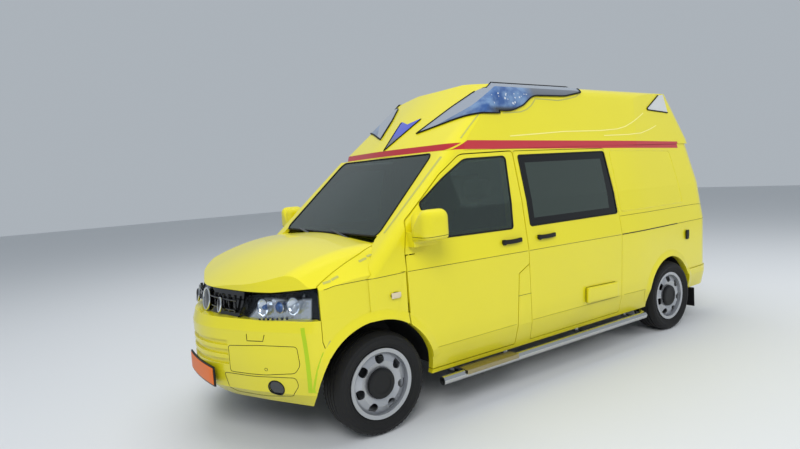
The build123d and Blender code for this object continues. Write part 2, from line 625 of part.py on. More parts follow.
pieces = {
    "body_shell": frame, "front_wings": both(wing), "bonnet": bonnet, "front_bumper": bumper, "grille": grille,
    "headlamps": both(lamp), "windscreen": screen, "cowl": cowl,
    "front_door_left": door, "front_door_right": flip(door),
    "door_window_left": door_pane, "door_window_right": flip(door_pane),
    "sliding_doors": both(sliding), "sliding_door_windows": both(sliding_pane),
    "tailgate": tailgate, "tailgate_window": rear_pane, "tail_lamps": both(tail_lamp), "rear_bumper": rear_bumper,
    "roof": roof, "roof_pods": both(pod), "roof_front_light": front_light, "roof_marker_lamps": both(marker),
    "mirror_left": mirror_left, "mirror_right": flip(mirror_left),
    "floor": floor, "cab_floor": cab_floor, "wheel_housings": Compound(children=housings), "rear_header": rear_header,
    "bulkhead": bulkhead, "dashboard": dashboard, "steering_wheel": steering_wheel,
    "driver_seat": seat(400), "passenger_seat": seat(-400),
    "engine": engine, "front_subframe": subframe, "rear_axle": rear_axle,
    "knuckle_left": knuckle, "knuckle_right": flip(knuckle),
    "fog_lamps": Compound(children=fog_lamps), "side_bars": both(bar), "mud_flaps": both(mud_flap),
    "exhaust": exhaust,
}
for end, x in (("front", axle_front_x), ("rear", axle_rear_x)):
    rim, rubber = wheel(x), tyre(x)
    pieces[f"wheel_{end}_left"], pieces[f"wheel_{end}_right"] = rim, flip(rim)
    pieces[f"tyre_{end}_left"], pieces[f"tyre_{end}_right"] = rubber, flip(rubber)

for name, shape in pieces.items():
    save(name, shape)
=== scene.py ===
import math
from functools import partial

import bpy
from mathutils import Matrix, Vector


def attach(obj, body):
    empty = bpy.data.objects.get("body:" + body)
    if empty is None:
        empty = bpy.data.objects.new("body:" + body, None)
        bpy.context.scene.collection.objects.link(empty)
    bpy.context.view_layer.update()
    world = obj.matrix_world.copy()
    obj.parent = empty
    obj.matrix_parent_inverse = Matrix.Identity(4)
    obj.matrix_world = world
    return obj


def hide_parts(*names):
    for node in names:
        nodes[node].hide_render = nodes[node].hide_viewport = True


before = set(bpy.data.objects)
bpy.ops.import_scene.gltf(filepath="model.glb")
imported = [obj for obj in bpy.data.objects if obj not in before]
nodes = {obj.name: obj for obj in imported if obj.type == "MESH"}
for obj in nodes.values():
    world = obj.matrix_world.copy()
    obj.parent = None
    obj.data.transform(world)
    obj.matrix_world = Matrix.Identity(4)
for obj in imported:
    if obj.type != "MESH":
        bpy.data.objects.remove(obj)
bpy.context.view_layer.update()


# Body paint: sprayed two-pack enamel in one bright yellow. It looks even and glossy, and its colour grows a little
# darker and browner towards the sills. A red reflective band runs round the joint of body and roof.
def tint(hex_colour):
    """An sRGB hex colour as a linear one."""
    values = [int(hex_colour[i : i + 2], 16) / 255 for i in (1, 3, 5)]
    return [v / 12.92 if v <= 0.04045 else ((v + 0.055) / 1.055) ** 2.4 for v in values] + [1.0]


def add_node(tree, kind, *inputs, to=None, relief=None, **settings):
    """Adds a node. Its first sockets, or a mix's factor and two colours, take the values in order, and its
    properties and other sockets the named ones. A node given as a value is linked in. `to` names the shader's
    socket that the new node feeds, and `relief` is the strength and depth in metres of its bumps."""
    made = tree.nodes.new("ShaderNode" + kind)
    if kind == "Mix":
        made.data_type = "RGBA"
    settings.update(zip((0, 6, 7) if kind == "Mix" else (0, 1, 2), inputs))
    for name, value in settings.items():
        if isinstance(value, bpy.types.Node):
            value = value.outputs[2 if value.bl_idname == "ShaderNodeMix" else 0]
        if isinstance(name, str) and hasattr(made, name):
            setattr(made, name, value)
            continue
        socket = made.inputs[name.replace("_", " ") if isinstance(name, str) else name]
        if isinstance(value, bpy.types.NodeSocket):
            tree.links.new(value, socket)
        else:
            socket.default_value = value
    if to:
        tree.links.new(made.outputs[2 if kind == "Mix" else 0], tree.nodes["Principled BSDF"].inputs[to])
    if relief:
        add_node(tree, "Bump", Strength=relief[0], Distance=relief[1], Height=made, to="Normal")
    return made


def new_finish(name, colour, **settings):
    """A material with its shader set, what adds nodes to it, and the object coordinates that patterns read."""
    finish = bpy.data.materials.new(name)
    finish.use_nodes = True
    sockets = finish.node_tree.nodes["Principled BSDF"].inputs
    sockets["Base Color"].default_value = tint(colour)
    for socket, value in settings.items():
        sockets[socket.replace("_", " ")].default_value = value
    node = partial(add_node, finish.node_tree)
    return finish, node, node("TexCoord").outputs["Object"]


def inside(node, *ranges):
    """1 where each value lies between its low and high limit, and 0 elsewhere. A limit may be None."""
    factor = 1.0
    for value, low, high in ranges:
        for limit, operation in ((low, "GREATER_THAN"), (high, "LESS_THAN")):
            if limit is not None:
                test = node("Math", value, limit, operation=operation)
                factor = node("Math", factor, test, operation="MULTIPLY")
    return factor


def dress(finish, *names):
    """Gives CAD nodes this finish."""
    for name in names:
        mesh = nodes[name].data
        mesh.materials.clear()
        mesh.materials.append(finish)


YELLOW, DULL_YELLOW, LOW_DARK_TONE, BAND_RED = "#E3D718", "#D6CB16", "#8E8626", "#B8202E"
DARKENING_TOP, DARKENING_FOOT = 0.62, 0.26
# The band is 67 mm high on the sides, where it falls towards the rear, and 47 mm high on the front. A slanted
# joint parts the two behind the front pillar.
BAND_HEIGHT, BAND_FALL, BAND_LOW, BAND_END = 0.067, 0.0165, 1.8255, -2.12
FRONT_BAND, JOINT_SLANT, JOINT_X, JOINT_GAP = (1.842, 1.889), -1.9, 0.93, 0.022
for name, wearers in (
    ("two_pack_enamel_with_red_band", ("roof", "body_shell")),
    ("two_pack_enamel", ("bonnet", "front_wings", "front_door_left", "front_door_right", "sliding_doors",
                         "tailgate", "mirror_left", "mirror_right", "rear_bumper", "front_bumper", "rear_header")),
):
    body_paint, node, place = new_finish(name, YELLOW, Roughness=0.36, Coat_Weight=0.6, Coat_Roughness=0.06)
    axes = node("SeparateXYZ", Vector=place).outputs
    x, z = axes["X"], axes["Z"]
    # Slow clouds in the tone, 0.5 m across, and a darker brown tone that deepens towards the sills
    cloud = node("TexNoise", Scale=2.0, Detail=4.0, Vector=place)
    share = node("Math", cloud, 0.35, operation="MULTIPLY")
    colour = node("Mix", share, tint(YELLOW), tint(DULL_YELLOW))
    fade = node("MapRange", From_Min=DARKENING_TOP, From_Max=DARKENING_FOOT, To_Max=0.5, Value=z)
    share = node("Math", fade, cloud, operation="MULTIPLY")
    colour = node("Mix", share, colour, tint(LOW_DARK_TONE), to="Base Color")
    if "band" in name:
        low = node("Math", x, BAND_FALL, BAND_LOW, operation="MULTIPLY_ADD")
        height = node("Math", z, low, operation="SUBTRACT")
        joint = node("Math", height, JOINT_SLANT, JOINT_X, operation="MULTIPLY_ADD")
        side = inside(node, (height, 0.0, BAND_HEIGHT), (x, BAND_END, joint))
        joint = node("Math", joint, JOINT_GAP, operation="ADD")
        front = inside(node, (z, *FRONT_BAND), (x, joint, None))
        band = node("Math", side, front, operation="MAXIMUM")
        node("Mix", band, colour, tint(BAND_RED), to="Base Color")
    # Orange peel of about 1 mm
    node("TexNoise", Scale=900.0, Detail=3.0, Vector=place, relief=(0.03, 0.0004))
    dress(body_paint, *wearers)

# Glass: laminated and toughened float glass. The cab is seen through a green-grey tint, and the load space is
# hidden behind dark privacy glass, with a printed black edge 60 mm wide round the sliding doors' panes.
cab_glass, node, place = new_finish("tinted_float_glass", "#5E706A", Roughness=0.01, Transmission_Weight=0.85,
                                    IOR=1.5)
node("TexNoise", Scale=1.4, Vector=place, relief=(0.02, 0.002))
dress(cab_glass, "windscreen", "door_window_left", "door_window_right")
privacy_glass, node, place = new_finish("privacy_glass", "#15191B", Roughness=0.03, Transmission_Weight=0.2,
                                        IOR=1.5)
axes = node("SeparateXYZ", Vector=place).outputs
CLEAR_X, CLEAR_Z = (-0.715, 0.245), (1.285, 1.72)
clear = inside(node, (axes["X"], *CLEAR_X), (axes["Z"], *CLEAR_Z))
node("Mix", clear, tint("#08090A"), tint("#39443F"), to="Base Color")
dress(privacy_glass, "sliding_door_windows", "tailgate_window")

# Trim and underside: moulded black plastics, black wax on floor and axles, grey lining, cast and rolled metal.
# Each has a small grain of 1 to 8 mm, so that plastic looks matt and metal looks worn.
trim = {}
for name, colour, roughness, metallic, coat, scale, strength, distance, *wearers in (
    ("grained_black_polypropylene", "#0C0C0D", 0.55, 0.0, 0.0, 700.0, 0.25, 0.0006,
     "cowl", "dashboard", "steering_wheel", "mud_flaps"),
    ("gloss_black_abs", "#060607", 0.14, 0.0, 0.4, 500.0, 0.02, 0.0003, "grille"),
    ("gasket_rubber", "#0A0A0B", 0.6, 0.0, 0.0, 900.0, 0.2, 0.0004),
    ("chrome_plate", "#D8DADC", 0.08, 1.0, 0.0, 400.0, 0.01, 0.0002),
    ("chassis_black_wax", "#101011", 0.6, 0.0, 0.0, 160.0, 0.3, 0.002,
     "floor", "cab_floor", "wheel_housings", "front_subframe", "rear_axle"),
    ("moulded_cab_lining", "#8C9092", 0.7, 0.0, 0.0, 420.0, 0.2, 0.0006, "bulkhead"),
    ("sand_cast_aluminium", "#6E7072", 0.55, 0.9, 0.0, 300.0, 0.4, 0.001,
     "engine", "knuckle_left", "knuckle_right"),
    ("aluminised_steel_tube", "#5C564E", 0.45, 0.9, 0.0, 120.0, 0.3, 0.001, "exhaust"),
    # Painted shade in the pressed creases: the body yellow made a little darker
    ("pressed_crease_in_enamel", "#B0A712", 0.4, 0.0, 0.3, 300.0, 0.1, 0.0005),
    ("dark_shut_line", "#2C2A08", 0.8, 0.0, 0.0, 300.0, 0.1, 0.0005),
    ("lime_tape", "#AECB08", 0.5, 0.0, 0.0, 60.0, 0.2, 0.0005),
    ("grey_tape_residue", "#B5B35C", 0.6, 0.0, 0.0, 90.0, 0.3, 0.0005),
    ("pale_polish_mark", "#EFE98E", 0.4, 0.0, 0.0, 90.0, 0.1, 0.0005),
):
    finish, node, place = new_finish(name, colour, Roughness=roughness, Metallic=metallic, Coat_Weight=coat)
    node("TexNoise", Scale=scale, Detail=3.0, Vector=place, relief=(strength, distance))
    dress(finish, *wearers)
    trim[name] = finish
black_plastic, gloss_black = trim["grained_black_polypropylene"], trim["gloss_black_abs"]
gasket_rubber, chrome, shadow_gap = trim["gasket_rubber"], trim["chrome_plate"], trim["dark_shut_line"]


# Seams: the panels part at fine dark gaps, and the fold lines of the pressings are shown by painted shade, a
# slightly darker yellow. Each is drawn as a thin cord that starts beside the body and is drawn onto its skin.
def make_active(piece):
    if bpy.context.mode != "OBJECT":
        bpy.ops.object.mode_set(mode="OBJECT")
    bpy.ops.object.select_all(action="DESELECT")
    if piece:
        piece.select_set(True)
        bpy.context.view_layer.objects.active = piece


def edit(piece, operator, **settings):
    """Runs an operator of edit mode on all of a piece."""
    make_active(piece)
    bpy.ops.object.mode_set(mode="EDIT")
    bpy.ops.mesh.select_all(action="SELECT")
    operator(**settings)
    bpy.ops.object.mode_set(mode="OBJECT")


def apply_modifier(piece, kind, **settings):
    make_active(piece)
    modifier = piece.modifiers.new(kind.title(), kind)
    for name, value in settings.items():
        setattr(modifier, name, value)
    bpy.ops.object.modifier_apply(modifier=modifier.name)


def smooth(piece, angle=35):
    make_active(piece)
    bpy.ops.object.shade_smooth_by_angle(angle=math.radians(angle))


def finish_piece(piece, name, finish, body="body"):
    piece.name = name
    piece.data.name = name
    piece.data.materials.clear()
    piece.data.materials.append(finish)
    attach(piece, body)
    return piece


def pair(piece, name, finish, body="body"):
    """Finishes a left-hand piece and its mirrored copy on the right, which has its own mesh."""
    finish_piece(piece, name + "_left", finish, body)
    make_active(piece)
    bpy.ops.object.duplicate()
    copy = bpy.context.object
    copy.parent = None
    copy.matrix_world = Matrix.Identity(4)
    copy.data.transform(Matrix.Diagonal((1, -1, 1, 1)))
    copy.data.flip_normals()
    finish_piece(copy, name + "_right", finish, body.replace("left", "right"))


def own_copy(piece):
    """A copy of a piece with its own mesh, free of any body."""
    copy = piece.copy()
    copy.data = piece.data.copy()
    bpy.context.collection.objects.link(copy)
    copy.parent = None
    copy.matrix_world = Matrix.Identity(4)
    return copy


def merged_copy(name, weld=0.0002):
    """A welded copy of a CAD node's mesh."""
    copy = own_copy(nodes[name])
    edit(copy, bpy.ops.mesh.select_mode, type="VERT")
    edit(copy, bpy.ops.mesh.remove_doubles, threshold=weld)
    return copy


SKIN_NODES = ("body_shell", "front_wings", "front_door_left", "sliding_doors", "tailgate", "roof", "rear_bumper",
              "front_bumper", "bonnet", "roof_pods")
skin_parts = [merged_copy(name) for name in SKIN_NODES]
make_active(skin_parts[0])
for part in skin_parts:
    part.select_set(True)
bpy.ops.object.join()
skin = bpy.context.object
skin.name = "skin_guide"


def lay_on_skin(piece, proud=0.0, from_front=False):
    """Draws a piece's vertices onto the skin: to the nearest point, or straight back from the front."""
    if from_front:
        apply_modifier(piece, "SHRINKWRAP", target=skin, offset=proud, wrap_method="PROJECT", use_project_x=True,
                       use_negative_direction=True, use_positive_direction=False, wrap_mode="ON_SURFACE")
    else:
        apply_modifier(piece, "SHRINKWRAP", target=skin, offset=proud, wrap_method="NEAREST_SURFACEPOINT",
                       wrap_mode="ABOVE_SURFACE")


# Half width of the side at a few heights, and its taper towards the rear
SIDE_ROWS = ((0.24, 0.890), (0.48, 0.944), (1.045, 0.950), (1.42, 0.902), (1.835, 0.818), (1.89, 0.818),
             (2.52, 0.706))
TAPER_START, TAPER_LENGTH, TAPER_IN = -1.2, 1.367, 0.080


def side_y(x, z):
    """About where the left side's skin lies."""
    for (z0, w0), (z1, w1) in zip(SIDE_ROWS, SIDE_ROWS[1:]):
        if z <= z1:
            width = w0 + (w1 - w0) * (z - z0) / (z1 - z0)
            break
    return width + 0.002 - max(0.0, TAPER_START - x) / TAPER_LENGTH * TAPER_IN


def walk(points, step, closed=False):
    """The points of a line with more points between, no further apart than the step."""
    path = []
    for start, end in zip(points, points[1:] + points[:1] if closed else points[1:]):
        start, end = Vector(start), Vector(end)
        count = max(1, math.ceil((end - start).length / step))
        path += [start.lerp(end, k / count) for k in range(count)]
    return path if closed else path + [Vector(points[-1])]


def guide_line(path, closed=False):
    """An object of edges along a path."""
    guide = bpy.data.meshes.new("line")
    edges = [(i, i + 1) for i in range(len(path) - 1)] + ([(len(path) - 1, 0)] if closed else [])
    guide.from_pydata([tuple(p) for p in path], edges, [])
    line = bpy.data.objects.new("line", guide)
    bpy.context.collection.objects.link(line)
    return line


def to_cord(line, thickness):
    """Turns an object of edges into a round cord."""
    make_active(line)
    bpy.ops.object.convert(target="CURVE")
    line = bpy.context.object
    line.data.bevel_depth = thickness / 2
    line.data.bevel_resolution = 1
    line.data.use_fill_caps = True
    bpy.ops.object.convert(target="MESH")
    smooth(bpy.context.object, 60)
    return bpy.context.object


def cord_on_side(points, thickness, closed=False, proud=0.0):
    """A thin cord along points (x, z) on the left side."""
    path = walk([(x, 0, z) for x, z in points], 0.03, closed)
    line = guide_line([(p.x, side_y(p.x, p.z) + 0.004, p.z) for p in path], closed)
    lay_on_skin(line, proud)
    return to_cord(line, thickness)


for name, points, body in (
    ("belt_seam_front_door", [(1.505, 1.045), (0.37, 1.040)], "front_door_left"),
    ("belt_seam_slider", [(0.345, 1.040), (-0.835, 1.035)], "body"),
    ("belt_seam_wing", [(2.12, 1.028), (1.53, 1.045)], "body"),
    ("belt_seam_rear", [(-1.83, 1.038), (-2.50, 1.040)], "body"),
    ("rail_cover_seam", [(-0.853, 1.200), (-2.222, 1.200), (-2.47, 1.190)], "body"),
    ("filler_seam", [(0.345, 0.706), (0.485, 0.706)], "body"),
    ("sill_crease_front", [(1.30, 0.487), (0.52, 0.492)], "front_door_left"),
    ("sill_crease_slider", [(0.338, 0.492), (-0.80, 0.487)], "body"),
    ("sill_crease_rear", [(-0.86, 0.487), (-1.19, 0.480), (-1.21, 0.36)], "body"),
):
    # Creases take the darker yellow of painted shade, and joints the dark shut line
    width, finish = (0.005, trim["pressed_crease_in_enamel"]) if "crease" in name else (0.0035, shadow_gap)
    pair(cord_on_side(points, width), name, finish, body)
pair(cord_on_side([(-0.853, 1.036), (-1.823, 1.038)], 0.010, proud=-0.001), "rail_slot", gasket_rubber)


# Marks left by old tape and signs: thin films on the paint, lime strips on the bumper's corner and grey-green
# residue elsewhere, with a grey line along the roof's front corner. Two pale lines along the roof's sides are
# painted highlights. Each is a narrow grid along its points, drawn onto the skin and thickened.
def outward(piece):
    """Merges doubles and turns all faces outwards."""
    edit(piece, bpy.ops.mesh.remove_doubles, threshold=0.00001)
    edit(piece, bpy.ops.mesh.normals_make_consistent, inside=False)


def film_on_skin(points, width):
    path = walk(points, 0.015)
    last = len(path) - 1
    make_active(None)
    bpy.ops.mesh.primitive_grid_add(x_subdivisions=last, y_subdivisions=3, size=1)
    film = bpy.context.object
    normals = [skin.closest_point_on_mesh(p)[2] for p in path]
    for vertex in film.data.vertices:
        i = round((vertex.co.x + 0.5) * last)
        along = path[min(i + 1, last)] - path[max(i - 1, 0)]
        across = along.cross(normals[i]).normalized()
        vertex.co = path[i] + across * vertex.co.y * width + normals[i] * 0.003
    lay_on_skin(film, 0.0009)
    apply_modifier(film, "SOLIDIFY", thickness=0.0006, offset=0.0)
    outward(film)
    smooth(film, 50)
    return film


for name, film, width, points in (
    ("lime_strip_1", "lime_tape", 0.028,
     [(2.230, 0.838, 0.795), (2.228, 0.848, 0.717), (2.224, 0.854, 0.637), (2.221, 0.857, 0.556),
      (2.219, 0.858, 0.475), (2.215, 0.850, 0.390)]),
    ("lime_strip_2", "lime_tape", 0.030,
     [(2.127, 0.908, 0.633), (2.146, 0.905, 0.593), (2.165, 0.898, 0.546), (2.180, 0.891, 0.492),
      (2.190, 0.879, 0.435), (2.195, 0.869, 0.390)]),
    ("strip_residue", "grey_tape_residue", 0.018,
     [(2.083, 0.912, 0.698), (2.105, 0.910, 0.665), (2.122, 0.909, 0.640)]),
    ("wing_tape_1", "grey_tape_residue", 0.017, [(2.093, 0.877, 1.050), (2.040, 0.883, 1.058)]),
    ("wing_tape_2", "grey_tape_residue", 0.017, [(2.035, 0.881, 1.063), (1.984, 0.878, 1.078)]),
    ("wing_tape_3", "grey_tape_residue", 0.017, [(1.810, 0.843, 1.143), (1.750, 0.834, 1.157)]),
    ("wing_tape_4", "grey_tape_residue", 0.017, [(1.740, 0.826, 1.166), (1.702, 0.826, 1.177)]),
    ("pillar_strip", "grey_tape_residue", 0.020,
     [(1.573, 0.795, 1.298), (1.434, 0.796, 1.429), (1.343, 0.795, 1.515), (1.249, 0.793, 1.602),
      (1.150, 0.788, 1.692), (1.037, 0.782, 1.793)]),
    # A grey line along the roof's front corner, in the same grey film
    ("corner_crease", "grey_tape_residue", 0.012,
     [(0.845, 0.783, 1.921), (0.728, 0.766, 2.020), (0.620, 0.753, 2.110)]),
    ("pod_residue", "grey_tape_residue", 0.010,
     [(0.380, 0.761, 2.115), (0.275, 0.761, 2.120), (0.174, 0.760, 2.127), (0.102, 0.756, 2.147),
      (0.039, 0.749, 2.180), (0.000, 0.742, 2.212), (-0.028, 0.736, 2.240), (-0.161, 0.736, 2.238),
      (-0.304, 0.738, 2.232), (-0.434, 0.734, 2.249), (-0.563, 0.728, 2.275), (-0.670, 0.700, 2.320)]),
    # Painted highlights: two pale lines along the roof's sides
    ("painted_highlight_line_1", "pale_polish_mark", 0.008,
     [(0.352, 0.802, 1.932), (0.002, 0.798, 1.949), (-0.302, 0.795, 1.965), (-0.797, 0.794, 1.971),
      (-1.056, 0.791, 1.985), (-1.189, 0.786, 2.008), (-1.297, 0.779, 2.042), (-1.417, 0.766, 2.087),
      (-1.557, 0.743, 2.144)]),
    ("painted_highlight_line_2", "pale_polish_mark", 0.008,
     [(-0.840, 0.804, 1.926), (-1.208, 0.802, 1.932), (-1.434, 0.793, 1.946), (-1.623, 0.772, 1.985),
      (-1.759, 0.754, 2.022)]),
):
    finish_piece(film_on_skin(points, width), name, trim[film])


# Window seals: extruded black rubber, 14 to 16 mm wide, pressed between glass and paint. Each follows the outer
# edge of its pane.
def select_faces(piece, wanted):
    """Selects the faces of a piece that are wanted, and stays in edit mode."""
    chosen = [wanted(face) for face in piece.data.polygons]
    make_active(piece)
    bpy.ops.object.mode_set(mode="EDIT")
    bpy.ops.mesh.select_mode(type="FACE")
    bpy.ops.mesh.select_all(action="DESELECT")
    bpy.ops.object.mode_set(mode="OBJECT")
    for face, keep in zip(piece.data.polygons, chosen):
        face.select = keep
    bpy.ops.object.mode_set(mode="EDIT")


def edge_cord(source, wanted, thickness):
    """A round cord along the edge of those faces of a CAD node that are wanted."""
    copy = merged_copy(source)
    select_faces(copy, wanted)
    bpy.ops.mesh.region_to_loop()
    bpy.ops.mesh.select_all(action="INVERT")
    bpy.ops.mesh.delete(type="EDGE")
    bpy.ops.object.mode_set(mode="OBJECT")
    return to_cord(copy, thickness)


for pane, name, body in (("door_window_left", "door_window_seal", "front_door_left"),
                         ("sliding_door_windows", "slider_window_seal", "body")):
    seal = edge_cord(pane, lambda face: face.normal.y > 0.6 and face.center.y > 0.3, 0.014)
    pair(seal, name, gasket_rubber, body)
seal = edge_cord("windscreen", lambda face: face.normal.x > 0.3, 0.016)
finish_piece(seal, "windscreen_seal", gasket_rubber)
seal = edge_cord("tailgate_window", lambda face: face.normal.x < -0.3, 0.016)
finish_piece(seal, "tailgate_window_seal", gasket_rubber, "tailgate")


# Blank side panel: a pressed steel panel behind the sliding window, with a raised rim round a shallow field. It
# is welded in where other vans have a third window.
def rounded(corners, radius, steps=5):
    """An outline with its corners rounded."""
    out = []
    for i, corner in enumerate(corners):
        here = Vector(corner)
        start = here + (Vector(corners[i - 1]) - here).normalized() * radius
        end = here + (Vector(corners[(i + 1) % len(corners)]) - here).normalized() * radius
        for t in (k / steps for k in range(steps + 1)):
            out.append(tuple(start * (1 - t) ** 2 + here * 2 * t * (1 - t) + end * t**2))
    return out


BLANK_PANEL = rounded([(-0.865, 1.790), (-0.875, 1.240), (-1.99, 1.240), (-1.915, 1.765)], 0.04)
pair(cord_on_side(BLANK_PANEL, 0.012, closed=True, proud=-0.003), "blank_panel_rim", body_paint)


# Mirror heads: painted moulded shells with soft round edges, and a fine joint between the two shells. The head
# is a rounded copy of the form past the arm, and tapers down towards the arm, which stays as it is.
def cut(piece, place, direction, fill=False):
    """Cuts off what lies past a plane, on the side that the direction points to."""
    edit(piece, bpy.ops.mesh.bisect, plane_co=place, plane_no=direction, clear_outer=True, use_fill=fill)


ARM_END, HEAD_START, HEAD_FOOT, HEAD_TAPER = 1.000, 0.985, 1.215, 0.110
HEAD_GRAIN, LOWEST_SHARE, SHELL_JOINT = 0.006, 0.38, (1.39, 0, 1.276)
for side, node, body in ((1, "mirror_left", "front_door_left"), (-1, "mirror_right", "front_door_right")):
    arm, head = merged_copy(node), merged_copy(node)
    cut(arm, (0, side * ARM_END, 0), (0, side, 0), fill=True)
    cut(head, (0, side * HEAD_START, 0), (0, -side, 0), fill=True)
    apply_modifier(head, "REMESH", mode="VOXEL", voxel_size=HEAD_GRAIN)
    apply_modifier(head, "SMOOTH", factor=0.5, iterations=30)
    for vertex in head.data.vertices:
        share = max(0.0, min(1.0, (side * vertex.co.y - HEAD_START) / HEAD_TAPER))
        rise = LOWEST_SHARE + (1 - LOWEST_SHARE) * math.sin(share * math.pi / 2)
        vertex.co.z = HEAD_FOOT + (vertex.co.z - HEAD_FOOT) * rise
    smooth(head, 80)
    joint = own_copy(head)
    make_active(arm)
    head.select_set(True)
    bpy.ops.object.join()
    finish_piece(arm, node + "_shells", body_paint, body)
    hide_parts(node)
    make_active(joint)
    bpy.ops.object.mode_set(mode="EDIT")
    bpy.ops.mesh.select_all(action="SELECT")
    bpy.ops.mesh.bisect(plane_co=SHELL_JOINT, plane_no=(0.03, 0, 1))
    bpy.ops.mesh.select_all(action="INVERT")
    bpy.ops.mesh.delete(type="VERT")
    bpy.ops.object.mode_set(mode="OBJECT")
    finish_piece(to_cord(joint, 0.0035), node + "_joint", shadow_gap, body)


# Door handles: grips of glass-filled black nylon, each pivoted at its front end over a round pressed finger well.
# The front door's opens with it, and the sliding door's stays with the body.
def primitive(add, **settings):
    """Adds one of Blender's primitives, with its place put into its mesh."""
    make_active(None)
    add(**settings)
    bpy.ops.object.transform_apply(location=True, rotation=True, scale=True)
    return bpy.context.object


def soften(piece, width, segments=3, limit=0.8, smoothing=35):
    """Bevels a piece's edges that are sharper than the limit, and shades it smooth."""
    apply_modifier(piece, "BEVEL", width=width, segments=segments, limit_method="ANGLE", angle_limit=limit)
    smooth(piece, smoothing)


def oval(x_mid, z_mid, half_width, half_height, count=24):
    """The points of an oval in an upright plane."""
    turns = (k * math.tau / count for k in range(count))
    return [(x_mid + half_width * math.cos(a), z_mid + half_height * math.sin(a)) for a in turns]


GRIP_LENGTH, GRIP_DEPTH, GRIP_HEIGHT, PIVOT_AHEAD = 0.200, 0.022, 0.032, 0.082
for name, x_mid, z_mid, body in (("front_door_handle", 0.530, 1.132, "front_door_left"),
                                 ("slider_handle", 0.145, 1.130, "body")):
    face_y = side_y(x_mid, z_mid)
    grip = primitive(bpy.ops.mesh.primitive_cube_add, size=1, location=(x_mid, face_y + 0.012, z_mid),
                     scale=(GRIP_LENGTH, GRIP_DEPTH, GRIP_HEIGHT))
    edit(grip, bpy.ops.mesh.subdivide, number_cuts=4)
    for vertex in grip.data.vertices:
        along = (vertex.co.x - x_mid) / (GRIP_LENGTH / 2)
        vertex.co.y += 0.008 * (1 - along**2) - 0.004
        vertex.co.z += 0.004 * along**2
    soften(grip, 0.009, limit=0.9)
    pair(grip, name, black_plastic, body)
    pivot = primitive(bpy.ops.mesh.primitive_cylinder_add, vertices=32, radius=0.021, depth=0.024,
                      location=(x_mid + PIVOT_AHEAD, face_y + 0.010, z_mid), rotation=(math.pi / 2, 0, 0))
    soften(pivot, 0.006)
    pair(pivot, name + "_pivot", black_plastic, body)
    well = cord_on_side(oval(x_mid, z_mid + 0.018, 0.052, 0.050), 0.005, closed=True, proud=-0.002)
    pair(well, name + "_well", body_paint, body)


# Lower cover on the left sliding door: a moulded cap, painted with the body and held by four small screws.
# A dark joint runs round it.
def plate_on_side(corners, proud, thick, step, bevel):
    """A thin raised plate on the left side: a grid trimmed to a convex outline (x, z), laid on the skin."""
    area = sum(a[0] * b[1] - b[0] * a[1] for a, b in zip(corners, corners[1:] + corners[:1]))
    corners = corners if area > 0 else corners[::-1]
    low = Vector((min(p[0] for p in corners), min(p[1] for p in corners)))
    size = Vector((max(p[0] for p in corners), max(p[1] for p in corners))) - low
    make_active(None)
    bpy.ops.mesh.primitive_grid_add(x_subdivisions=max(2, int(size.x / step)),
                                    y_subdivisions=max(2, int(size.y / step)), size=1)
    plate = bpy.context.object
    for vertex in plate.data.vertices:
        vertex.co = (low.x + (vertex.co.x + 0.5) * size.x, 0.0, low.y + (vertex.co.y + 0.5) * size.y)
    for (x0, z0), (x1, z1) in zip(corners, corners[1:] + corners[:1]):
        cut(plate, (x0, 0, z0), (z1 - z0, 0, x0 - x1))
    for vertex in plate.data.vertices:
        vertex.co.y = side_y(vertex.co.x, vertex.co.z) + 0.004
    lay_on_skin(plate, proud)
    apply_modifier(plate, "SOLIDIFY", thickness=thick, offset=-1.0)
    outward(plate)
    soften(plate, bevel, segments=2, smoothing=40)
    return plate


LOWER_COVER = rounded([(-0.318, 0.640), (-0.310, 0.512), (-0.745, 0.500), (-0.738, 0.628)], 0.02)
finish_piece(plate_on_side(LOWER_COVER, 0.012, 0.016, 0.03, 0.006), "lower_cover_left", body_paint)
finish_piece(cord_on_side(LOWER_COVER, 0.004, closed=True), "lower_cover_seam_left", shadow_gap)
for i, (x, z) in enumerate(((-0.335, 0.622), (-0.328, 0.528), (-0.728, 0.517), (-0.722, 0.612))):
    face_y = side_y(x, z) + 0.0125
    screw = primitive(bpy.ops.mesh.primitive_uv_sphere_add, segments=12, ring_count=6, radius=0.007,
                      location=(x, face_y, z))
    for vertex in screw.data.vertices:
        vertex.co.y = face_y + (vertex.co.y - face_y) * 0.4
    smooth(screw)
    finish_piece(screw, "lower_cover_screw_%d" % (i + 1), gasket_rubber)

# Inlet socket on the left rear quarter: a moulded black flap box for the mains lead, screwed to the panel.
# A soft latch closes it.
INLET = rounded([(-1.985, 0.958), (-1.985, 0.868), (-2.040, 0.868), (-2.040, 0.958)], 0.010)
finish_piece(plate_on_side(INLET, 0.008, 0.012, 0.015, 0.003), "mains_inlet_left", black_plastic)
latch = cord_on_side([(-1.992, 0.915), (-2.033, 0.915)], 0.008, proud=0.008)
finish_piece(latch, "mains_inlet_latch", gasket_rubber)

# Side repeaters on the wings: small clear moulded lenses, fluted inside, in a dark rubber seat. They are pressed
# into the sheet metal.
REPEATER = oval(1.616, 0.907, 0.036, 0.019)
repeater_lens, node, place = new_finish("polycarbonate_repeater_lens", "#D9C9A8", Roughness=0.12, Coat_Weight=0.5)
node("TexWave", Scale=90.0, Vector=place, relief=(0.5, 0.001))
pair(plate_on_side(REPEATER, 0.007, 0.009, 0.012, 0.003), "side_repeater", repeater_lens)
pair(cord_on_side(REPEATER, 0.004, closed=True, proud=0.001), "side_repeater_seat", gasket_rubber)


# Wheel arches: the pressed wings flare softly out over the last 60 mm and turn in round the openings. The front
# ring is cut at the door's shut line, and its rear part opens with the door.
FLARE_WIDTH, FLARE_RISE, FLARE_TURN = 0.062, 0.013, 0.030


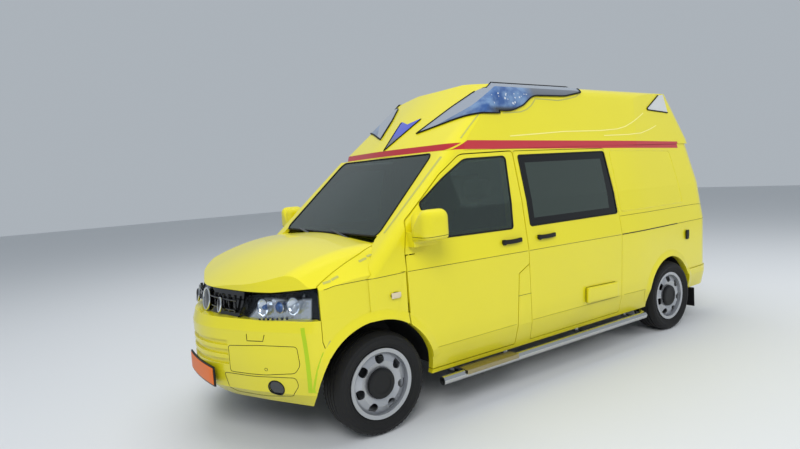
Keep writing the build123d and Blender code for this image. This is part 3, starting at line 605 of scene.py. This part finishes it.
def flare(x_mid, z_mid, radius, low, high):
    """A ring of skin round an arch: rows of points at growing radius, each less far out than the last."""
    make_active(None)
    rows, columns = 7, 60
    bpy.ops.mesh.primitive_grid_add(x_subdivisions=columns, y_subdivisions=rows, size=1)
    ring = bpy.context.object
    spread = []
    for vertex in ring.data.vertices:
        row = round((vertex.co.y + 0.5) * rows)
        angle = math.radians(low + (high - low) * (vertex.co.x + 0.5))
        ends = min(1.0, 3 * min(angle - math.radians(4), math.radians(176) - angle) + 0.25)
        share = max(0, row - 1) / (rows - 1)
        spread.append((row, ends, 1 - share))
        reach = radius + FLARE_WIDTH * share
        x, z = x_mid + reach * math.cos(angle), z_mid + reach * math.sin(angle)
        vertex.co = (x, side_y(x, z) + 0.004, z)
    lay_on_skin(ring, 0.0002)
    for vertex, (row, ends, share) in zip(ring.data.vertices, spread):
        vertex.co.y += FLARE_RISE * ends * share * share * (3 - 2 * share) - (FLARE_TURN if row == 0 else 0.0)
    outward(ring)
    apply_modifier(ring, "SOLIDIFY", thickness=0.001, offset=0.0)
    smooth(ring, 60)
    return ring


for name, body, x_mid, z_mid, radius, low, high, shut_line in (
    ("front_arch_flare", "body", 1.753, 0.335, 0.434, 6, 126, (1.5165, -1)),
    ("door_arch_flare", "front_door_left", 1.753, 0.335, 0.434, 116, 168, (1.5095, 1)),
    ("rear_arch_flare", "body", -1.654, 0.325, 0.407, 4, 176, None),
):
    ring = flare(x_mid, z_mid, radius, low, high)
    if shut_line:
        cut(ring, (shut_line[0], 0, 0), (shut_line[1], 0, 0), fill=True)
    pair(ring, name, body_paint, body)


# Front bumper: one painted moulding, with cover panels and a washer flap let into it. Fine dark joints show
# where each of them clips in.
NOSE_X = 2.72


def cord_on_front(points, thickness, closed=True):
    """A thin cord along points (y, z), drawn back from ahead of the nose onto the skin."""
    line = guide_line(walk([(NOSE_X, y, z) for y, z in points], 0.02, closed), closed)
    lay_on_skin(line, from_front=True)
    return to_cord(line, thickness)


TOW_COVER = rounded([(0.352, 0.654), (0.560, 0.672), (0.800, 0.676), (0.812, 0.560), (0.780, 0.508),
                     (0.600, 0.484), (0.352, 0.483)], 0.02)
FOG_PANEL = rounded([(0.30, 0.470), (0.560, 0.470), (0.780, 0.480), (0.790, 0.430), (0.740, 0.356),
                     (0.560, 0.330), (0.32, 0.330)], 0.02)
WASHER_FLAP = [(0.500, 0.742), (0.500, 0.698), (0.600, 0.700), (0.612, 0.742)]
for name, points, thickness, closed in (
    ("tow_cover_seam", TOW_COVER, 0.004, True),
    ("fog_panel_seam", FOG_PANEL, 0.004, True),
    ("washer_flap", WASHER_FLAP, 0.005, False),
    ("tow_cover_plug", oval(0.605, 0.520, 0.009, 0.009, 12), 0.003, True),
):
    pair(cord_on_front(points, thickness, closed), name, shadow_gap)

# Registration plates: blank orange reflective sheet with a fine glass-bead texture, on black plastic carriers.
# The front plate is bowed like the bumper that it is screwed to.
plate_sheet, node, place = new_finish("orange_reflective_sheet", "#E86E00", Roughness=0.45)
node("TexVoronoi", Scale=500.0, Vector=place, relief=(0.15, 0.0005))
PLATE_BOW, SHEET_AHEAD = 0.22, 0.007
for name, x_face, z_mid, ahead, body in (("front_plate", 2.634, 0.443, 1, "body"),
                                         ("rear_plate", -2.640, 0.985, -1, "tailgate")):
    for layer, finish, size, offset in (("carrier", black_plastic, (0.012, 0.540, 0.132), 0.0),
                                        ("sheet", plate_sheet, (0.004, 0.520, 0.112), SHEET_AHEAD)):
        plate = primitive(bpy.ops.mesh.primitive_cube_add, size=1, location=(x_face + ahead * offset, 0, z_mid),
                          scale=size)
        apply_modifier(plate, "BEVEL", width=0.0018, segments=2)
        edit(plate, bpy.ops.mesh.subdivide, number_cuts=6)
        if name == "front_plate":
            for vertex in plate.data.vertices:
                vertex.co.x -= vertex.co.y**2 * PLATE_BOW
        smooth(plate)
        finish_piece(plate, name + "_" + layer, finish, body)

# Grille: moulded bars and uprights of gloss black plastic, clipped together, and an upright flasher in a chrome
# rim on each side. A plain round disc in a chrome ring sits in the middle.
def soft_block(place, size, bevel, segments=2):
    """A block with soft edges."""
    block = primitive(bpy.ops.mesh.primitive_cube_add, size=1, location=place, scale=size)
    soften(block, bevel, segments)
    return block


GRILLE_BOW, BAR_X, UPRIGHT_X, GRILLE_Z = 0.36, 2.545, 2.528, 0.913
for side, tag in ((1, "left"), (-1, "right")):
    for row, z_mid, reach in ((1, 0.945, 0.335), (2, 0.882, 0.315)):
        along = [side * (0.085 + reach * k / 12) for k in range(13)]
        bar = to_cord(guide_line([(BAR_X - y * y * GRILLE_BOW, y, z_mid) for y in along]), 0.013)
        for vertex in bar.data.vertices:
            vertex.co.z = z_mid + (vertex.co.z - z_mid) * 0.75
        finish_piece(bar, "grille_bar_%s_%d" % (tag, row), gloss_black)
    for k in range(5):
        y = side * (0.125 + 0.062 * k)
        upright = soft_block((UPRIGHT_X - y * y * GRILLE_BOW, y, GRILLE_Z), (0.020, 0.010, 0.110), 0.003)
        finish_piece(upright, "grille_upright_%s_%d" % (tag, k + 1), gloss_black)
FLASHER_X, FLASHER_Y, FLASHER_Z, FLASHER_NARROW = 2.540, 0.250, 0.905, 0.62
rim = primitive(bpy.ops.mesh.primitive_torus_add, major_radius=0.046, minor_radius=0.005, major_segments=40,
                minor_segments=10, rotation=(0, math.radians(84), 0))
lens = primitive(bpy.ops.mesh.primitive_uv_sphere_add, segments=32, ring_count=16, radius=0.045)
for piece, depth in ((rim, 1.6), (lens, 0.3)):
    for vertex in piece.data.vertices:
        u, v, w = vertex.co
        vertex.co = (FLASHER_X + depth * u, FLASHER_Y + FLASHER_NARROW * v, FLASHER_Z + w)
    smooth(piece)
pair(rim, "grille_flasher_rim", chrome)
pair(lens, "grille_flasher_lens", gloss_black)
BADGE_TILT = (0, math.radians(82), 0)
ring = primitive(bpy.ops.mesh.primitive_torus_add, major_radius=0.074, minor_radius=0.007, major_segments=48,
                 minor_segments=12, location=(2.552, 0, GRILLE_Z), rotation=BADGE_TILT)
smooth(ring)
finish_piece(ring, "badge_ring", chrome)
disc = primitive(bpy.ops.mesh.primitive_cylinder_add, vertices=48, radius=0.070, depth=0.012,
                 location=(2.548, 0, GRILLE_Z), rotation=BADGE_TILT)
soften(disc, 0.004)
finish_piece(disc, "badge_disc", gloss_black)

# Headlamps: a clear polycarbonate lens glued over an open tray. The tray is bright metallised plastic in the
# middle and dark at its ends, with two reflector bowls and a blue projector between them.
lens_plastic, node, place = new_finish("clear_polycarbonate_lens", "#F4F7FA", Roughness=0.01,
                                       Transmission_Weight=1.0, IOR=1.15)
node("TexNoise", Scale=6.0, Vector=place, relief=(0.02, 0.001))
lamp_mirror, node, place = new_finish("aluminised_reflector", "#DDE1E6", Roughness=0.14, Metallic=1.0)
node("TexVoronoi", Scale=45.0, Vector=place, relief=(0.35, 0.003))
tray_finish, node, place = new_finish("metallised_lamp_tray", "#B9BEC4", Roughness=0.25, Metallic=0.85)
axes = node("SeparateXYZ", Vector=place).outputs
away = node("Math", axes["Y"], operation="ABSOLUTE")
outer = node("MapRange", From_Min=0.826, From_Max=0.836, Value=away)
upper = node("MapRange", From_Min=0.945, From_Max=0.965, Value=axes["Z"])
slant = node("Math", axes["Z"], -0.9, away, operation="MULTIPLY_ADD")
inner = node("MapRange", From_Min=-0.28, From_Max=-0.31, Value=slant)
dark = node("Math", outer, upper, operation="MAXIMUM")
dark = node("Math", dark, inner, operation="MAXIMUM")
node("Mix", dark, tint("#D5D9DE"), tint("#24272B"), to="Base Color")
node("TexWave", Scale=22.0, bands_direction="Y", Vector=place, relief=(0.2, 0.002))
projector_glass, node, place = new_finish("blue_tinted_projector_glass", "#24528F", Roughness=0.05,
                                          Coat_Weight=1.0)
node("TexNoise", Scale=20.0, Vector=place, relief=(0.05, 0.001))
led_cover, node, place = new_finish("dark_led_cover", "#22262B", Roughness=0.2, Coat_Weight=0.6)
node("TexNoise", Scale=150.0, Vector=place, relief=(0.1, 0.001))


def keep_faces(piece, wanted):
    """Deletes the faces of a piece that aren't wanted."""
    select_faces(piece, lambda face: not wanted(face))
    bpy.ops.mesh.delete(type="FACE")
    bpy.ops.object.mode_set(mode="OBJECT")


cover = merged_copy("headlamps")
keep_faces(cover, lambda face: face.normal.x > 0.3 or (face.normal.x > 0.1 and abs(face.normal.y) > 0.6))
tray = own_copy(cover)
front_faces = len(tray.data.polygons)
apply_modifier(tray, "SOLIDIFY", thickness=0.042, offset=-1.0)
keep_faces(tray, lambda face: face.index >= front_faces)
smooth(tray, 30)
apply_modifier(cover, "SOLIDIFY", thickness=0.0025, offset=-1.0)
outward(cover)
smooth(cover, 30)
tray.data.materials.clear()
tray.data.materials.append(tray_finish)
finish_piece(cover, "headlamp_covers_and_trays", lens_plastic)


def in_lamp(y, z, inwards):
    """A point a given depth inside the left lamp's outer surface, and the surface's normal."""
    _, place, normal, _ = cover.ray_cast(Vector((3.0, y, z)), Vector((-1, 0, 0)))
    return place - normal * inwards, normal


for side, tag in ((1, "left"), (-1, "right")):
    for name, y, z, radius, depth, inwards, finish in (
        ("inner_bowl", 0.590, 0.908, 0.054, 0.030, 0.009, lamp_mirror),
        ("outer_bowl", 0.768, 0.920, 0.056, 0.030, 0.009, lamp_mirror),
        ("projector", 0.684, 0.912, 0.033, 0.020, 0.024, projector_glass),
        ("inner_bulb", 0.590, 0.908, 0.016, 0.016, 0.030, projector_glass),
        ("outer_bulb", 0.768, 0.920, 0.016, 0.016, 0.030, lamp_mirror),
    ):
        spot, normal = in_lamp(y, z, inwards)
        # Each faces half ahead and half along the lens
        facing = (normal * 0.5 + Vector((1, 0, 0)) * 0.5).normalized()
        turn = Vector((0, 0, 1)).rotation_difference(facing).to_matrix()
        bowl = primitive(bpy.ops.mesh.primitive_uv_sphere_add, segments=32, ring_count=16, radius=1)
        if "bowl" in name:
            cut(bowl, (0, 0, 0), (0, 0, 1))
        for vertex in bowl.data.vertices:
            u, v, w = vertex.co
            point = spot + turn @ Vector((u * radius, v * radius, w * depth))
            vertex.co = (point.x, side * point.y, point.z)
        if "bowl" in name:
            apply_modifier(bowl, "SOLIDIFY", thickness=0.0015, offset=0.0)
        outward(bowl)
        smooth(bowl, 60)
        finish_piece(bowl, "headlamp_%s_%s" % (name, tag), finish)
        if name == "projector":
            rim = primitive(bpy.ops.mesh.primitive_torus_add, major_radius=1, minor_radius=0.1,
                            major_segments=40, minor_segments=8)
            for vertex in rim.data.vertices:
                point = spot + turn @ (vertex.co * radius * 1.1)
                vertex.co = (point.x, side * point.y, point.z)
            outward(rim)
            smooth(rim)
            finish_piece(rim, "headlamp_projector_rim_" + tag, chrome)
    for k in range(7):
        spot, normal = in_lamp(0.575 + 0.027 * k, 0.836 + 0.001 * k, 0.010)
        led = soft_block((spot.x, side * spot.y, spot.z), (0.012, 0.019, 0.011), 0.003)
        finish_piece(led, "daytime_led_%s_%d" % (tag, k + 1), led_cover)
    for k in range(6):
        spot, normal = in_lamp(0.829 - 0.002 * k, 0.985 - 0.027 * k, 0.012)
        stud = primitive(bpy.ops.mesh.primitive_uv_sphere_add, segments=12, ring_count=6, radius=0.006,
                         location=(spot.x, side * spot.y, spot.z))
        smooth(stud)
        finish_piece(stud, "turn_led_%s_%d" % (tag, k + 1), chrome)
make_active(cover)
tray.select_set(True)
bpy.ops.object.join()
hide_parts("headlamps")

# Fog lamps: fluted dark glass in a turned rim of black rubber, set back in the bumper. The flutes run upright, as
# they were pressed in the glass.
fog_glass, node, place = new_finish("fluted_fog_lamp_glass", "#2B2F33", Roughness=0.08, Coat_Weight=1.0,
                                    Metallic=0.6)
node("TexWave", Scale=40.0, bands_direction="Y", Vector=place, relief=(0.4, 0.002))
dress(fog_glass, "fog_lamps")
pair(cord_on_front(oval(0.650, 0.402, 0.047, 0.047, 32), 0.009), "fog_lamp_rim", gasket_rubber)

# Roof pods: moulded clear and blue polycarbonate over lamp blocks, bedded in black gasket. Bright reflector cells
# show in the middle, the tail's grey is a painted reflection, and a pale painted highlight runs along the upper
# edge.
pod_lens, node, place = new_finish("ribbed_blue_pod_lens", "#3A6296", Roughness=0.1, Coat_Weight=1.0,
                                   Coat_Roughness=0.02)
axes = node("SeparateXYZ", Vector=place).outputs
x, z = axes["X"], axes["Z"]
streak = node("TexNoise", Scale=9.0, Detail=3.0, Vector=place)
tone = node("MapRange", From_Min=0.38, From_Max=0.62, Value=streak)
colour = node("Mix", tone, tint("#27508C"), tint("#6C8BB2"))
cells = node("TexVoronoi", Scale=32.0, Vector=place)
bright = node("Math", cells, 0.30, operation="LESS_THAN")
bright = node("Math", bright, inside(node, (x, 0.06, 0.46), (z, 2.185, 2.275)), operation="MULTIPLY")
bright = node("Math", bright, 0.8, operation="MULTIPLY")
low_edge = node("MapRange", From_Min=2.175, From_Max=2.150, Value=z)
behind = node("MapRange", From_Min=0.55, From_Max=0.45, Value=x)
low_edge = node("Math", low_edge, behind, operation="MULTIPLY")
# Painted reflection: the tail behind x 0.10 turns grey
tail = node("MapRange", From_Min=0.10, From_Max=-0.02, Value=x)
tip = node("MapRange", From_Min=0.58, From_Max=0.80, To_Max=0.8, Value=x)
# Painted highlight: a pale band along the upper edge, above a slanting line
top_line = node("Math", x, -0.70, 2.605, operation="MULTIPLY_ADD")
top_line = node("Math", top_line, 2.330, operation="MINIMUM")
upper_edge_highlight = node("Math", z, top_line, operation="GREATER_THAN")
for share, layer in ((bright, "#D3D8DC"), (low_edge, "#2C3440"), (tail, "#5E646E"), (tip, "#46556E"),
                     (upper_edge_highlight, "#8E96A2")):
    colour = node("Mix", share, colour, tint(layer), to="Base Color")
node("TexWave", Scale=14.0, Distortion=1.5, Vector=place, relief=(0.25, 0.003))
dress(pod_lens, "roof_pods")
front_lens, node, place = new_finish("deep_blue_lens", "#1230B8", Roughness=0.1, Coat_Weight=1.0)
axes = node("SeparateXYZ", Vector=place).outputs
foot = node("MapRange", From_Min=2.03, From_Max=1.97, Value=axes["Z"])
node("Mix", foot, tint("#1634C4"), tint("#4A5058"), to="Base Color")
node("TexNoise", Scale=40.0, Vector=place, relief=(0.1, 0.002))
dress(front_lens, "roof_front_light")
marker_lens, node, place = new_finish("frosted_marker_lens", "#C9CCCC", Roughness=0.3, Coat_Weight=0.6)
node("TexNoise", Scale=60.0, Vector=place, relief=(0.3, 0.002))
dress(marker_lens, "roof_marker_lamps")


def outer_skin(face):
    """True for the outer skin of a roof lamp, whose normal points up and away from the roof's middle."""
    away = Vector((face.center.x + 0.6, face.center.y * 1.2, face.center.z - 1.3)).normalized()
    return face.normal.dot(away) > 0.35


for lamp, thickness, name in (
    ("roof_pods", 0.014, "roof_pod_gasket"),
    ("roof_front_light", 0.010, "roof_front_light_gasket"),
    ("roof_marker_lamps", 0.012, "roof_marker_gasket"),
):
    finish_piece(edge_cord(lamp, outer_skin, thickness), name, gasket_rubber)

# Tail lamps: tall red acrylic lenses with a clear chamber low down. They are ribbed across on the inside, which
# breaks up the shine.
tail_plastic, node, place = new_finish("red_acrylic_lens", "#8E0A12", Roughness=0.12, Coat_Weight=1.0)
axes = node("SeparateXYZ", Vector=place).outputs
chamber = inside(node, (axes["Z"], 0.86, 0.94))
node("Mix", chamber, tint("#8E0A12"), tint("#C8C2B8"), to="Base Color")
node("TexWave", Scale=30.0, bands_direction="Z", Vector=place, relief=(0.3, 0.002))
dress(tail_plastic, "tail_lamps")

# Side bars: polished stainless tube, brushed along its length. A chequered plate with rows of raised lozenges is
# welded on as the cab's step.
stainless, node, place = new_finish("polished_stainless_tube", "#C6C7C6", Roughness=0.2, Metallic=1.0)
stretched = node("Mapping", Scale=(4.0, 300.0, 300.0), Vector=place)
node("TexNoise", Scale=1.0, Vector=stretched, relief=(0.08, 0.0005))
dress(stainless, "side_bars")
chequer, node, place = new_finish("chequered_stainless_plate", "#A89C78", Roughness=0.3, Metallic=0.9)
node("TexNoise", Scale=200.0, Vector=place, relief=(0.2, 0.0005))
STEP_X, STEP_Y, STEP_Z, STEP_LENGTH, STEP_WIDTH, STEP_THICK = 0.834, 0.962, 0.2885, 0.511, 0.092, 0.004
ROWS, ROW_PITCH, COLUMNS, COLUMN_PITCH = 6, 0.0153, 33, 0.0155
LOZENGE_LENGTH, LOZENGE_WIDTH, LOZENGE_RISE = 0.0075, 0.0028, 0.0014
step = primitive(bpy.ops.mesh.primitive_cube_add, size=1, location=(STEP_X, STEP_Y, STEP_Z),
                 scale=(STEP_LENGTH, STEP_WIDTH, STEP_THICK))
lip = primitive(bpy.ops.mesh.primitive_cube_add, size=1, scale=(STEP_LENGTH, 0.004, 0.032),
                location=(STEP_X, STEP_Y + STEP_WIDTH / 2 + 0.002, STEP_Z - 0.014))
for plate in (step, lip):
    apply_modifier(plate, "BEVEL", width=0.0015, segments=2)
lozenges = []
for row in range(ROWS):
    for column in range(COLUMNS):
        lozenge = primitive(bpy.ops.mesh.primitive_ico_sphere_add, subdivisions=1, radius=1)
        turn = 1 if (row + column) % 2 else -1
        for vertex in lozenge.data.vertices:
            u, v, w = vertex.co.x * LOZENGE_LENGTH, vertex.co.y * LOZENGE_WIDTH, vertex.co.z * LOZENGE_RISE
            vertex.co = (STEP_X - STEP_LENGTH / 2 + COLUMN_PITCH * (column + 0.5) + (u + turn * v) * 0.7,
                         STEP_Y - STEP_WIDTH / 2 + ROW_PITCH * (row + 0.5) + (turn * u - v) * 0.7,
                         STEP_Z + STEP_THICK / 2 + w)
        outward(lozenge)
        lozenges.append(lozenge)
make_active(step)
for piece in [lip, *lozenges]:
    piece.select_set(True)
bpy.ops.object.join()
smooth(step, 30)
pair(step, "side_bar_step_plate", chequer)

# Wheels: pressed steel discs in silver enamel, each with a clamped tyre of vulcanised rubber. A black plastic cap
# is pressed over the hub.
silver_enamel, node, place = new_finish("silver_wheel_enamel", "#B4B6BA", Roughness=0.32, Metallic=0.75,
                                        Coat_Weight=0.4)
node("TexNoise", Scale=700.0, Vector=place, relief=(0.06, 0.0004))
tyre_rubber, node, place = new_finish("vulcanised_tyre_rubber", "#121213", Roughness=0.72)
dust = node("TexNoise", Scale=9.0, Detail=5.0, Vector=place, relief=(0.25, 0.001))
share = node("Math", dust, 0.35, operation="MULTIPLY")
node("Mix", share, tint("#0E0E0F"), tint("#2A2826"), to="Base Color")

AXLE_Z, HALF_TRACK, CAP_Y = 0.338, 0.814, 0.900
# Half the tyre's section as (offset from its middle, radius), and the tread's four grooves
SHOULDER = [(0.098, 0.330), (0.112, 0.316), (0.1165, 0.298), (0.118, 0.296), (0.118, 0.291), (0.116, 0.288),
            (0.108, 0.262), (0.1095, 0.259), (0.108, 0.256), (0.092, 0.236), (0.080, 0.2165)]
GROOVES = ((-0.064, -0.054), (-0.024, -0.013), (0.013, 0.024), (0.054, 0.064))
TREAD, GROOVE_FOOT, TURN_STEPS = 0.3375, 0.3295, 120
section = [(-u, r) for u, r in reversed(SHOULDER)]
for start, end in GROOVES:
    section += [(start, TREAD), (start + 0.001, GROOVE_FOOT), (end - 0.001, GROOVE_FOOT), (end, TREAD)]
section += SHOULDER
for end, axle_x in (("front", 1.738), ("rear", -1.662)):
    for side, tag in ((1, "left"), (-1, "right")):
        wheel, middle_y = "wheel_%s_%s" % (end, tag), HALF_TRACK * side
        dress(silver_enamel, wheel)
        tyre = guide_line([(axle_x, middle_y + u * side, AXLE_Z + r) for u, r in section])
        edit(tyre, bpy.ops.mesh.spin, steps=TURN_STEPS, angle=math.tau, center=(axle_x, middle_y, AXLE_Z),
             axis=(0, 1, 0))
        outward(tyre)
        # Cross cuts in the shoulders: every second row of vertices sinks 6 mm
        for vertex in tyre.data.vertices:
            away = Vector((vertex.co.x - axle_x, 0, vertex.co.z - AXLE_Z))
            if away.length > 0.329 and 0.066 < abs(vertex.co.y - middle_y) < 0.105:
                if round(math.atan2(away.z, away.x) / math.tau * TURN_STEPS) % 2:
                    vertex.co -= away.normalized() * 0.006
        smooth(tyre, 25)
        finish_piece(tyre, "tread_tyre_%s_%s" % (end, tag), tyre_rubber, wheel)
        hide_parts("tyre_%s_%s" % (end, tag))
        cap = primitive(bpy.ops.mesh.primitive_cylinder_add, vertices=64, radius=0.100, depth=0.034,
                        location=(axle_x, side * CAP_Y, AXLE_Z), rotation=(math.pi / 2, 0, 0))
        apply_modifier(cap, "BEVEL", width=0.012, segments=4, limit_method="ANGLE", angle_limit=0.8)
        select_faces(cap, lambda face: face.normal.y * side > 0.95)
        for inset, sink in ((0.030, -0.004), (0.012, 0.003)):
            bpy.ops.mesh.inset(thickness=inset)
            bpy.ops.transform.translate(value=(0, sink * side, 0))
        bpy.ops.object.mode_set(mode="OBJECT")
        smooth(cap)
        finish_piece(cap, "hub_cap_%s_%s" % (end, tag), black_plastic, wheel)

# Wipers: pressed steel arms painted black, with rubber blades. They turn on spindles under the cowl and are parked
# low on the glass.
for k, points in enumerate((((1.640, 0.560, 1.225), (1.620, 0.250, 1.275), (1.560, -0.060, 1.300)),
                            ((1.640, -0.080, 1.235), (1.620, -0.350, 1.275), (1.560, -0.620, 1.290)))):
    finish_piece(to_cord(guide_line(points), 0.016), "wiper_arm_%d" % (k + 1), gloss_black)

# Tailgate grip: a black moulded bar over the plate, screwed on from inside. Its soft edges catch a thin line of
# light.
grip = soft_block((-2.640, 0, 1.085), (0.030, 0.560, 0.050), 0.012, segments=3)
finish_piece(grip, "tailgate_grip", black_plastic, "tailgate")

# Seats: foam cushions in dark woven cloth, stitched over a frame. The foam is a rounded copy of each seat form,
# and it gives under load.
seat_cloth, node, place = new_finish("woven_seat_cloth", "#2A2D33", Roughness=0.9, Sheen_Weight=0.3)
node("TexWave", Scale=220.0, Distortion=0.5, Vector=place, relief=(0.3, 0.001))
for seat in ("driver_seat", "passenger_seat"):
    cushion = merged_copy(seat)
    apply_modifier(cushion, "REMESH", mode="VOXEL", voxel_size=0.02)
    apply_modifier(cushion, "SMOOTH", factor=0.5, iterations=6)
    smooth(cushion, 80)
    finish_piece(cushion, seat + "_upholstery", seat_cloth)
    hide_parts(seat)

# Studio: a plain pale floor and a grey sky, with soft light from three panels. The camera stands where the
# photograph was taken from.
bpy.data.objects.remove(skin)
floor_finish, node, place = new_finish("studio_floor", "#D4D6D8", Roughness=0.7)
node("TexNoise", Scale=30.0, Vector=place, relief=(0.03, 0.001))
ground = primitive(bpy.ops.mesh.primitive_plane_add, size=60, location=(0, 0, 0))
ground.name = "studio_floor"
ground.data.materials.append(floor_finish)
world = bpy.data.worlds.new("studio_sky")
bpy.context.scene.world = world
world.use_nodes = True
sky = world.node_tree.nodes["Background"].inputs
sky["Color"].default_value = tint("#C3CBD3")
sky["Strength"].default_value = 0.75
for name, spot, aim, power, size in (
    ("key_light", (6.0, 7.0, 7.5), (0.3, 0, 1.0), 620, 5.0),
    ("fill_light", (-7.0, 6.0, 5.0), (-1.0, 0, 1.0), 260, 5.0),
    ("top_light", (0.0, -2.0, 9.0), (0, 0, 1.0), 420, 7.0),
):
    lamp = bpy.data.lights.new(name, "AREA")
    lamp.energy = power
    lamp.size = size
    light = bpy.data.objects.new(name, lamp)
    light.location = spot
    light.rotation_euler = (Vector(aim) - Vector(spot)).to_track_quat("-Z", "Y").to_euler()
    light.visible_glossy = False
    bpy.context.collection.objects.link(light)
CAMERA_PLACE = (3.608, 3.945, 1.660)
yaw, pitch, roll = math.radians(-124.54), math.radians(-4.72), math.radians(-3.57)
ahead = Vector((math.cos(yaw) * math.cos(pitch), math.sin(yaw) * math.cos(pitch), math.sin(pitch)))
level = Vector((math.sin(yaw), -math.cos(yaw), 0))
upward = level.cross(ahead)
right = level * math.cos(roll) + upward * math.sin(roll)
top = upward * math.cos(roll) - level * math.sin(roll)
lens = bpy.data.cameras.new("photo_camera")
lens.lens, lens.sensor_width, lens.sensor_fit = 25.35, 36.0, "HORIZONTAL"
camera = bpy.data.objects.new("photo_camera", lens)
camera.matrix_world = Matrix.Translation(CAMERA_PLACE) @ Matrix((right, top, -ahead)).transposed().to_4x4()
bpy.context.collection.objects.link(camera)
bpy.context.scene.camera = camera
bpy.context.scene.view_settings.view_transform = "Standard"
